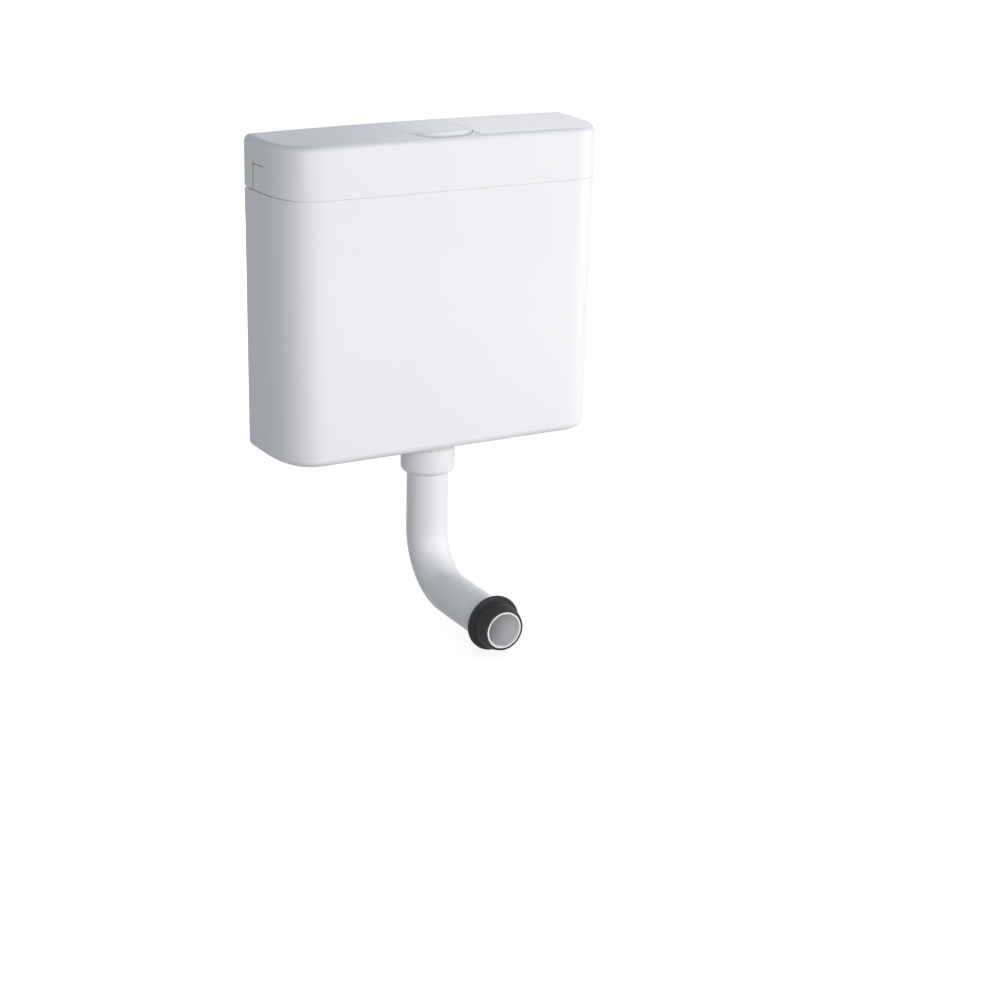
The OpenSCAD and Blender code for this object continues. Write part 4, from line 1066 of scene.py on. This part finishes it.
FOOT_R, FOOT_LOW, FOOT_HIGH = ends("valve_foot", OUTLET)
FOOT_NECK, GUSSETS, GUSSET_END, GUSSET_SLOPE = 14, 6, 27, 5.4
plate = FOOT_LOW + 5
foot = turned("valve_base", [
    (TUBE_ROOM, FOOT_LOW), (FOOT_R, FOOT_LOW, 0.6), (FOOT_R, plate, 1.2), (FOOT_NECK, plate, 1.5),
    (FOOT_NECK, FOOT_HIGH, 0.8), (TUBE_ROOM, FOOT_HIGH, 0.3),
], OUTLET, steps=72)
for k in range(GUSSETS):
    gusset = block("gusset", (FOOT_NECK - 1.2, -1, plate - 0.8), (GUSSET_END, 1, FOOT_HIGH - 0.9))
    pick("VERT", lambda v: v.co.x > GUSSET_END - 1 and v.co.z > plate + 1)
    bpy.ops.transform.translate(value=(0, 0, -GUSSET_SLOPE))
    bpy.ops.object.mode_set(mode="OBJECT")
    gusset.data.transform(Matrix.Translation(OUTLET) @ Matrix.Rotation(k * 2 * math.pi / GUSSETS, 4, "Z"))
    weld(foot, gusset)
fit(foot, "valve_foot", "valve_blue")

seal = ring("flush_seal", "seal_disc", TUBE_ROOM, OUTLET, ease=(0.3, 1.0), steps=72)
fit(seal, "seal_disc", "rubber_red")

BUOY_R, BUOY_LOW, BUOY_HIGH = ends("valve_float", OUTLET)
BUOY_WALL, BUOY_NECK = 2, 13
roof = BUOY_HIGH - BUOY_WALL
buoy = turned("valve_buoy", [
    (TUBE_ROOM, BUOY_LOW, 0.3), (BUOY_NECK, BUOY_LOW, 0.3), (BUOY_NECK, roof, 0.8),
    (BUOY_R - BUOY_WALL, roof, 2.5), (BUOY_R - BUOY_WALL, BUOY_LOW, 0.5), (BUOY_R, BUOY_LOW, 0.7),
    (BUOY_R, BUOY_HIGH, 4.0), (TUBE_ROOM, BUOY_HIGH, 0.4),
], OUTLET, steps=72)
fit(buoy, "valve_float", "fitting_white")

# %% Lift rod and thumb nut
_, STEM_LOW, STEM_HIGH = ends("lift_rod", OUTLET)
STEM_R, STEM_PITCH, STEM_GROOVE = 3, 1.5, 0.45
FINS, FIN_REACH, FIN_HOOK = 3, TUBE_BORE - 0.2, 4
THUMB_RIM, THUMB_GROOVES, THUMB_DEPTH = 8.6, 16, 0.8
thread_low, thread_high = 41, STEM_HIGH - 0.9
stem = turned("lift_stem", [
    (0, STEM_LOW), (STEM_R, STEM_LOW, 0.8), (STEM_R, thread_low - 1),
    *rings(STEM_R, thread_low, thread_high, STEM_PITCH), (STEM_R - 0.5, STEM_HIGH), (0, STEM_HIGH),
], OUTLET, closed=False, steps=40)
thread(stem, OUTLET, "Z", STEM_R, thread_low, thread_high, STEM_PITCH, STEM_GROOVE)
for k in range(FINS):
    fin = block("fin", (1, -1, STEM_LOW), (FIN_REACH, 1, TUBE_HIGH))
    pick("FACE", lambda f: f.normal.z > 0.9)
    step_up(FIN_HOOK)
    pick("FACE", lambda f: f.normal.x > 0.9 and middle(f).z > TUBE_HIGH)
    bpy.ops.mesh.extrude_region_move(TRANSFORM_OT_translate={"value": (TUBE_R - FIN_REACH, 0, 0)})
    soften(fin, 0.35)
    fin.data.transform(Matrix.Translation(OUTLET) @ Matrix.Rotation(k * 2 * math.pi / FINS, 4, "Z"))
    weld(stem, fin)
fit(stem, "lift_rod", "fitting_white")

thumb_nut = ring("lift_thumb_nut", "lift_collar", STEM_R + 0.05, OUTLET, ease=(0.4, 1.0), steps=128)
flute(thumb_nut, OUTLET, "Z", THUMB_RIM, THUMB_GROOVES, THUMB_DEPTH)
fit(thumb_nut, "lift_collar", "clip_green")

# %% [markdown]
# ## The lift lever
# A frame lies in notches of the tank's collar and carries a pin. The lever on it is pushed down
# at the front and lifts the valve with its fork behind. Each part is a block with some of its
# edges fully rounded, and the hub is turned.

# %% Bridge, pin and fork
SPINDLE_R, _, SPINDLE_END = ends("lever_pin", LEVER, "X")
SPINDLE_ROOM, CLIP_GROOVE = SPINDLE_R + 0.05, 0.4
room_wall = Vector((4, 7, 0))
bridge = rounded("lever_frame", bridge_low, bridge_high, 2.5, "Z")
carve(bridge, rounded("frame_room", bridge_low + room_wall - Vector((0, 0, 4)),
                      bridge_high - room_wall + Vector((0, 0, 6)), 3, "Z"),
      rod("spindle_hole", SPINDLE_ROOM, -30, 30, LEVER, "X"))
soften(bridge, 0.6)
fit(bridge, "lever_bridge", "valve_grey")

groove = SPINDLE_END - 1.1
end = [
    (SPINDLE_R, groove), (SPINDLE_R - CLIP_GROOVE, groove), (SPINDLE_R - CLIP_GROOVE, groove + 0.5),
    (SPINDLE_R, groove + 0.5), (SPINDLE_R, SPINDLE_END, 0.6), (0, SPINDLE_END),
]
other_end = [(radius, -height, *ease) for radius, height, *ease in reversed(end)]
spindle = turned("lever_spindle", other_end + end, LEVER, "X", False, 40)
fit(spindle, "lever_pin", "pin_steel")

fork_low, fork_high = span("lift_lever")
HUB_R, ARM_HALF, PAD_HALF, TINE_X, TINE_HALF, TINE_REACH = 5.5, 3, 8, 7, 2.5, 26
hub_end, root = fork_high.x, 3.4
low, high = LEVER[2] - ARM_HALF, LEVER[2] + ARM_HALF
fork = turned("lift_fork", [
    (SPINDLE_ROOM, -hub_end, 0.4), (HUB_R, -hub_end, 0.8),
    (HUB_R, hub_end, 0.8), (SPINDLE_ROOM, hub_end, 0.4),
], LEVER, "X", steps=64)
weld(fork, rounded("push_pad", (-PAD_HALF, fork_low.y, low), (PAD_HALF, LEVER[1] - root, high), 5, "Z",
                   lambda m: m.y < fork_low.y + 8, 0.8))
for side in (-1, 1):
    weld(fork, rounded("tine", (side * TINE_X - TINE_HALF, LEVER[1] + root, low),
                       (side * TINE_X + TINE_HALF, LEVER[1] + TINE_REACH, high), 2.98, "X",
                       lambda m: m.y > LEVER[1] + 18, 0.5))
fit(fork, "lift_lever", "valve_blue")

# %% [markdown]
# ## What carries the key
# Under the lid's opening, a frame is screwed to four bosses and holds the key's hinge pin. A
# round-ended stud screwed into the key pushes the lever, and a nut locks it. The screws are
# alike, so one is modelled and copied, each copy with its own mesh.

# %% Key frame and hinge pin
PIN_R, PIN_LOW, PIN_HIGH = ends("button_pin", HINGE, "X")
rim_low, rim_high = span("button_frame")
RIM, LUG, LUG_HALF, LUG_ROOT, LUG_HOLE = 2.5, 3, 6, 42, 2.1
key_frame = rounded("key_frame", (PIN_LOW, rim_low.y, rim_low.z + 2),
                    (PIN_HIGH, rim_high.y, rim_high.z), 3, "Z")
carve(key_frame, rounded("frame_opening", (PIN_LOW + RIM, rim_low.y + RIM, rim_low.z - 4),
                         (PIN_HIGH - RIM, rim_high.y - RIM, rim_high.z + 3.2), 1.5, "Z"))
for x, y, _ in bosses:
    side = math.copysign(1, x)
    reach = sorted((side * LUG_ROOT, side * rim_high.x))
    weld(key_frame, rounded("lug", (reach[0], y - LUG_HALF, rim_low.z),
                            (reach[1], y + LUG_HALF, rim_low.z + LUG), 5.9, "Z",
                            lambda m: abs(m.x) > LUG_ROOT + 8, 0.4))
    carve(key_frame, rod("lug_hole", LUG_HOLE, rim_low.z - 4, rim_low.z + 6, (x, y, 0), steps=24))
carve(key_frame, rod("pin_hole", PIN_ROOM, -DRILL, DRILL, HINGE, "X", steps=32))
fit(key_frame, "button_frame", "valve_grey")

hinge_pin = rod("key_hinge_pin", PIN_R, PIN_LOW, PIN_HIGH, HINGE, "X", 0.5, 32)
fit(hinge_pin, "button_pin", "pin_steel")

# %% Frame screws
SCREW_HEAD, SCREW_R, SCREW_PITCH, SCREW_GROOVE = 4, 1.9, 1.4, 0.45
CROSS_LONG, CROSS_WIDE, CROSS_DEEP = 2.3, 0.45, 1.3
first = Vector(bosses[0])
top = screw_low.z
seat_z = rim_low.z
thread_low, thread_high = seat_z + 0.4, screw_high.z - SCREW_PITCH
screw = turned("key_frame_screws", [
    (0, top), (2.4, top + 0.1), (3.5, top + 0.7), (SCREW_HEAD, top + 1.6), (SCREW_HEAD, seat_z, 0.25),
    (SCREW_R, seat_z), *rings(SCREW_R, thread_low, thread_high, SCREW_PITCH),
    (SCREW_R - 1, screw_high.z), (0, screw_high.z),
], first, closed=False, steps=40)
thread(screw, first, "Z", SCREW_R, thread_low, thread_high, SCREW_PITCH, SCREW_GROOVE)
for half_x, half_y in ((CROSS_LONG, CROSS_WIDE), (CROSS_WIDE, CROSS_LONG)):
    arm_low = first + Vector((-half_x, -half_y, top - 0.5))
    carve(screw, block("cross", arm_low, first + Vector((half_x, half_y, top + CROSS_DEEP + half_x / 100))))
copies = []
for place in bosses[1:]:
    choose(screw)
    bpy.ops.object.duplicate()
    copy = bpy.context.object
    copy.data.transform(Matrix.Translation(Vector(place) - first))
    copies.append(copy)
choose(screw)
for copy in copies:
    copy.select_set(True)
bpy.ops.object.join()
fit(screw, "frame_screws", "pin_steel")

# %% Push stud and hexagon nut
BREAK = 0.7
CORNER_CUT, FACE_SHARE = 0.6, 0.97


def hex_nut(name, flats, bore, low, high, base, axis, turn=0.0):
    """A six-sided nut with the corners of both faces turned off."""
    corner = flats / math.sqrt(3)
    piece = turned(name, [(0, low), (corner, low), (corner, high), (0, high)], base, axis, False, 6)
    to_base = Matrix.Translation(base)
    piece.data.transform(to_base @ Matrix.Rotation(turn, 4, ALONG[axis]) @ to_base.inverted())
    cut, face = (corner - flats / 2) * CORNER_CUT, flats / 2 * FACE_SHARE
    carve(piece, turned("corners", [
        (0, low - 0.01), (face, low - 0.01), (corner + 0.1, low + cut), (corner + 0.1, high - cut),
        (face, high + 0.01), (0, high + 0.01),
    ], base, axis, False, 72), operation="INTERSECT")
    carve(piece, turned("bore", [
        (0, low - 1), (bore + BREAK, low - 0.1), (bore, low + 0.6), (bore, high - 0.6),
        (bore + BREAK, high + 0.1), (0, high + 1),
    ], base, axis, False, 48))
    return piece


STUD_R, STUD_LOW, STUD_HIGH = ends("push_screw", PUSH)
thread_low, thread_high = 56, STUD_HIGH - 1
stud = turned("push_stud", [
    (0, STUD_LOW), (STUD_R, STUD_LOW, STUD_R - 0.05), (STUD_R, thread_low - 0.5),
    *rings(STUD_R, thread_low, thread_high, STEM_PITCH), (STUD_R - 0.5, STUD_HIGH), (0, STUD_HIGH),
], PUSH, closed=False, steps=40)
thread(stud, PUSH, "Z", STUD_R, thread_low, thread_high, STEM_PITCH, STEM_GROOVE)
fit(stud, "push_screw", "fitting_white")

LOCKNUT_FLATS, LOCKNUT_LOW, LOCKNUT_TOP = 10, 62, 65.98
locknut = hex_nut("push_stud_nut", LOCKNUT_FLATS, PUSH_R, LOCKNUT_LOW, LOCKNUT_TOP, PUSH, "Z")
fit(locknut, "push_locknut", "fitting_white")

# %% [markdown]
# ## The fill valve
# Water comes in through a threaded tail in the tank's side. The valve's head closes it with a
# rubber diaphragm, which a small pilot plunger sets free. The float slides on the column below and
# tilts the float arm over its link. Head, column and tail are turned and welded into one moulding.

# %% Fill valve moulding
trunk_low, trunk_high = span("fill_valve_body")
DISC_R, DISC_LOW, DISC_TOP = ends("fill_diaphragm", HEAD)
CAP_R, CAP_LOW, CAP_TOP = ends("fill_valve_cap", HEAD)
_, FLANGE_FACE, _ = ends("inlet_washer", SUPPLY, "X")
COLUMN_R, COLUMN_BORE, COLUMN_FOOT, HEAD_LOW = 10, 7.2, 13, 24
TAIL_R, TAIL_BORE, TAIL_FLANGE, TAIL_START, TAIL_END_R = 8.33, 5.5, 12.5, 163, 7.5
G38_PITCH, G38_GROOVE = 1.337, 0.8
foot_top = trunk_low.z + 4
trunk = turned("fill_valve_moulding", [
    (0, HEAD_LOW), (COLUMN_BORE, HEAD_LOW), (COLUMN_BORE, trunk_low.z, 0.5), (COLUMN_FOOT, trunk_low.z, 0.8),
    (COLUMN_FOOT, foot_top, 0.8), (COLUMN_R, foot_top, 0.6), (COLUMN_R, HEAD_LOW, 1.5),
    (CAP_R, HEAD_LOW, 2.0), (CAP_R, CAP_LOW, 0.4), (0, CAP_LOW),
], HEAD, closed=False)
shank, flange_back = TAIL_R - 0.2, FLANGE_FACE - 3
thread_low, thread_high = side_face + 1, trunk_high.x - 0.8
tail = turned("tail", [
    (TAIL_BORE, TAIL_START), (shank, TAIL_START), (shank, flange_back, 1.0), (TAIL_FLANGE, flange_back, 0.7),
    (TAIL_FLANGE, FLANGE_FACE, 0.3), (shank, FLANGE_FACE), (shank, side_face),
    *rings(TAIL_R, thread_low, thread_high, G38_PITCH),
    (TAIL_END_R, trunk_high.x), (TAIL_BORE, trunk_high.x, 0.3),
], SUPPLY, "X")
thread(tail, SUPPLY, "X", TAIL_R, thread_low, thread_high, G38_PITCH, G38_GROOVE)
weld(trunk, tail)
carve(trunk, rod("diaphragm_room", DISC_R + 0.2, DISC_LOW, CAP_LOW + CLEAR, HEAD))
fit(trunk, "fill_valve_body", "fitting_white")

# %% Fill valve bonnet
CAP_ROOF, CAP_ROOM, CAP_ROOM_TOP, PLUNGER_ROOM = 51, 4, 48.75, 2.05
POST_Y, POST_WIDE, POST_THICK, POST_ROOT, ARM_ROOM = 6, 4, 1.5, 49, 1.55
cap_face = CAP_LOW + 0.02
bonnet = turned("fill_valve_bonnet", [
    (CAP_ROOM, cap_face), (CAP_R, cap_face, 0.4), (CAP_R, CAP_ROOF, 1.2), (PLUNGER_ROOM, CAP_ROOF, 0.3),
    (PLUNGER_ROOM, CAP_ROOM_TOP), (CAP_ROOM, CAP_ROOM_TOP),
], HEAD, steps=192)
flute(bonnet, HEAD, "Z", CAP_R - 1.1, 24, 0.7)
for side in (-1, 1):
    y = ARM[1] + side * POST_Y
    weld(bonnet, rounded("bonnet_ear", (ARM[0] - POST_WIDE, y - POST_THICK, POST_ROOT),
                         (ARM[0] + POST_WIDE, y + POST_THICK, CAP_TOP), 3.95, "Y",
                         lambda m: m.z > CAP_TOP - 2))
carve(bonnet, rod("arm_hole", ARM_ROOM, -10, 10, ARM, "Y", steps=32))
fit(bonnet, "fill_valve_cap", "valve_blue")

# %% Diaphragm, strainer, washer and tail nut
WAVE_IN, WAVE, WAVE_OUT, BEAD_IN, BEAD = 6.5, 8, 9.5, 11.5, 12
web_low, web_top = DISC_LOW + 0.4, DISC_TOP - 0.4
diaphragm = turned("diaphragm_disc", [
    (0, web_low), (WAVE_IN, web_low, 0.8), (WAVE, web_low + 0.7, 0.8), (WAVE_OUT, web_low, 0.8),
    (BEAD_IN, web_low), (BEAD, DISC_LOW), (DISC_R, DISC_LOW, 0.4),
    (DISC_R, DISC_TOP, 0.4), (BEAD, DISC_TOP), (BEAD_IN, web_top),
    (WAVE_OUT, web_top, 0.8), (WAVE, DISC_TOP - 0.01, 0.8), (WAVE_IN, web_top, 0.8), (0, web_top),
], HEAD, closed=False)
fit(diaphragm, "fill_diaphragm", "rubber_grey")

SIEVE_R, SIEVE_LOW, SIEVE_HIGH = ends("inlet_strainer", SUPPLY, "X")
SIEVE_BORE, SIEVE_END, SIEVE_SLOTS, SLOT_HALF, SLOT_REACH = 4.5, 1, 4, 0.45, 6
strainer = turned("strainer_thimble", [
    (0, SIEVE_LOW), (SIEVE_R, SIEVE_LOW, 0.6), (SIEVE_R, SIEVE_HIGH, 0.3), (SIEVE_BORE, SIEVE_HIGH, 0.3),
    (SIEVE_BORE, SIEVE_LOW + SIEVE_END), (0, SIEVE_LOW + SIEVE_END),
], SUPPLY, "X", False, 48)
for k in range(SIEVE_SLOTS):
    slot = block("strainer_slot", (SIEVE_LOW + 2, -SLOT_REACH, -SLOT_HALF),
                 (SIEVE_HIGH - 2, SLOT_REACH, SLOT_HALF + k / 100))
    bpy.ops.object.mode_set(mode="OBJECT")
    slot.data.transform(Matrix.Translation(SUPPLY) @ Matrix.Rotation(k * math.pi / SIEVE_SLOTS + 0.2, 4, "X"))
    carve(strainer, slot)
fit(strainer, "inlet_strainer", "clip_green")

WASHER_BORE = TAIL_R + 0.05
fit(ring("tail_washer", "inlet_washer", WASHER_BORE, SUPPLY, "X"), "inlet_washer", "rubber_grey")

TAIL_NUT_FLATS, TAIL_NUT_BORE, TAIL_NUT = 22, 8.5, 7
nut_face = side_face + 0.05
tail_nut = hex_nut("tail_nut", TAIL_NUT_FLATS, TAIL_NUT_BORE, nut_face, nut_face + TAIL_NUT, SUPPLY, "X",
                   math.pi / 6)
fit(tail_nut, "inlet_back_nut", "fitting_white")

# %% Drop tube and pilot plunger
DROP_BORE = 5.8
drop = ring("silencer_tube", "drop_tube", DROP_BORE, HEAD, ease=(0.4, 0.5), steps=48)
fit(drop, "drop_tube", "fitting_white")

PLUNGER_R, PLUNGER_LOW, PLUNGER_TOP = ends("valve_plunger", HEAD)
plunger = turned("pilot_plunger", [
    (0, PLUNGER_LOW), (PLUNGER_R, PLUNGER_LOW, 0.3),
    (PLUNGER_R, PLUNGER_TOP, PLUNGER_R - 0.05), (0, PLUNGER_TOP),
], HEAD, closed=False, steps=32)
fit(plunger, "valve_plunger", "fitting_white")

pilot_seal = ring("pilot_seal_ring", "plunger_seal", PLUNGER_ROOM, HEAD, ease=(0.3, 0.5), steps=40)
fit(pilot_seal, "plunger_seal", "rubber_red")

# %% [markdown]
# ## The float and its linkage
# The float is an upturned box that traps air, with a sleeve that slides on the column. It is a
# rounded block whose floor is removed before it gets its wall. A steel link in a socket takes its
# movement to the arm, held there by two clips.

# %% Float
FLOAT_LOW, FLOAT_TOP = (corner.z for corner in span("float"))
FLOAT_X, FLOAT_Y = (105.5, 181.5), (-65, -10)
FLOAT_CORNER, FLOAT_EDGE, FLOAT_WALL = 12, 2.6, 2
SLEEVE_R, SLEEVE_BORE, SOCKET_R, SOCKET_DEPTH, LINK_ROOM = 12.4, 10.4, 5, 10, 2.05
floater = block("fill_float", (FLOAT_X[0], FLOAT_Y[0], FLOAT_LOW), (FLOAT_X[1], FLOAT_Y[1], FLOAT_TOP))
pick("EDGE", lambda e: run(e).z > 0.9)
bevel(FLOAT_CORNER, 10)
pick("EDGE", lambda e: middle(e).z > FLOAT_TOP - 0.1 and run(e).z < 0.1)
bevel(FLOAT_EDGE, 5)
pick("FACE", lambda f: f.normal.z < -0.9)
bpy.ops.mesh.delete(type="FACE")
thicken(floater, FLOAT_WALL)
weld(floater, rod("sleeve", SLEEVE_R, FLOAT_LOW + 0.3, FLOAT_TOP - 0.8, HEAD, steps=64),
     rod("socket", SOCKET_R, FLOAT_TOP - SOCKET_DEPTH, FLOAT_TOP - 0.8, LINK, steps=40))
carve(floater, rod("column_way", SLEEVE_BORE, FLOAT_LOW - CLEAR, FLOAT_TOP + CLEAR, HEAD, steps=64))
carve(floater, rod("link_way", LINK_ROOM, FLOAT_TOP - SOCKET_DEPTH + CLEAR, FLOAT_TOP + 3, LINK, steps=32))
fit(floater, "float", "valve_grey")

# %% Link and clips
LINK_R, LINK_LOW, LINK_TOP = ends("float_rod", LINK)
CLIP_R, CLIP_T = 5, 3
link = turned("float_link", [
    (0, LINK_LOW), (LINK_R, LINK_LOW, 0.4), (LINK_R, LINK_TOP, 0.7), (0, LINK_TOP),
], LINK, closed=False, steps=32)
fit(link, "float_rod", "pin_steel")

clips = []
clips_low, clips_high = span("rod_clips")
for low in (clips_high.z - CLIP_T, clips_low.z):
    top = low + CLIP_T
    clip = turned("float_link_clips", [
        (LINK_ROOM, low, 0.3), (CLIP_R, low, 0.6), (CLIP_R, top, 0.6), (LINK_ROOM, top, 0.3),
    ], LINK, steps=80)
    clips.append(flute(clip, LINK, "Z", CLIP_R - 0.8, 10, 0.6))
choose(clips[0])
clips[1].select_set(True)
bpy.ops.object.join()
fit(clips[0], "rod_clips", "clip_green")

# %% Float arm
ARM_TILT = math.radians(-14.3239)
BAR_FAR, BAR_NEAR, BAR_HALF, BAR_THICK = -36.1, 8, 4, 2
ARM_HUB_R, ARM_HUB_END = 3.5, BAR_HALF - 0.05
LINK_SLOT, LINK_SLOT_HALF = (-33.6, -26.4), 2.4
AT_ARM = (0, 0, 0)
arm = rounded("float_arm_bar", (BAR_FAR, -BAR_HALF, -BAR_THICK), (BAR_NEAR, BAR_HALF, BAR_THICK),
              3, "Z", ease=0.5)
weld(arm, rod("arm_hub", ARM_HUB_R, -ARM_HUB_END, ARM_HUB_END, AT_ARM, "Y", 0.4, 40))
carve(arm, rod("arm_bore", ARM_ROOM, -6, 6, AT_ARM, "Y", steps=32),
      rounded("link_slot", (LINK_SLOT[0], -LINK_SLOT_HALF, -6), (LINK_SLOT[1], LINK_SLOT_HALF, 6), 2.3, "Z"))
arm.data.transform(Matrix.Translation(ARM) @ Matrix.Rotation(ARM_TILT, 4, "Y"))
fit(arm, "float_lever", "valve_blue")

ARM_PIN_R, ARM_PIN_HALF = 1.5, 8.5
arm_pin = rod("float_arm_pin", ARM_PIN_R, -ARM_PIN_HALF, ARM_PIN_HALF, ARM, "Y", 0.4, 32)
fit(arm_pin, "float_lever_pin", "pin_steel")

# %% [markdown]
# ## The unused supply hole
# The supply can come from either side. The left hole is closed from inside by a plug with a wing
# for the fingers and a washer.

# %% Blank plug
PLUG_R, _, PLUG_FACE = ends("blank_plug_seal", SUPPLY, "X")
PLUG_FLANGE, PLUG_END, WING_HALF, WING_THICK, WING_REACH = 3, side_face - 0.3, 10, 1.5, 11
flange_back, wing_end = PLUG_FACE + PLUG_FLANGE, PLUG_FACE + WING_REACH
plug = turned("blank_plug", [
    (0, -PLUG_END), (shank, -PLUG_END, 0.8), (shank, PLUG_FACE), (PLUG_R, PLUG_FACE, 0.4),
    (PLUG_R, flange_back, 0.8), (0, flange_back),
], SUPPLY, "X", False)
weld(plug, rounded("wing", (PLUG_FACE + 1, SUPPLY[1] - WING_THICK, SUPPLY[2] - WING_HALF),
                   (wing_end, SUPPLY[1] + WING_THICK, SUPPLY[2] + WING_HALF), 3, "Y",
                   lambda m: m.x > wing_end - 3.5, 0.5))
fit(plug, "supply_blank_plug", "fitting_white")
fit(ring("blank_plug_washer", "blank_plug_seal", WASHER_BORE, SUPPLY, "X"), "blank_plug_seal", "rubber_grey")

# %% Clear the selection
clear()
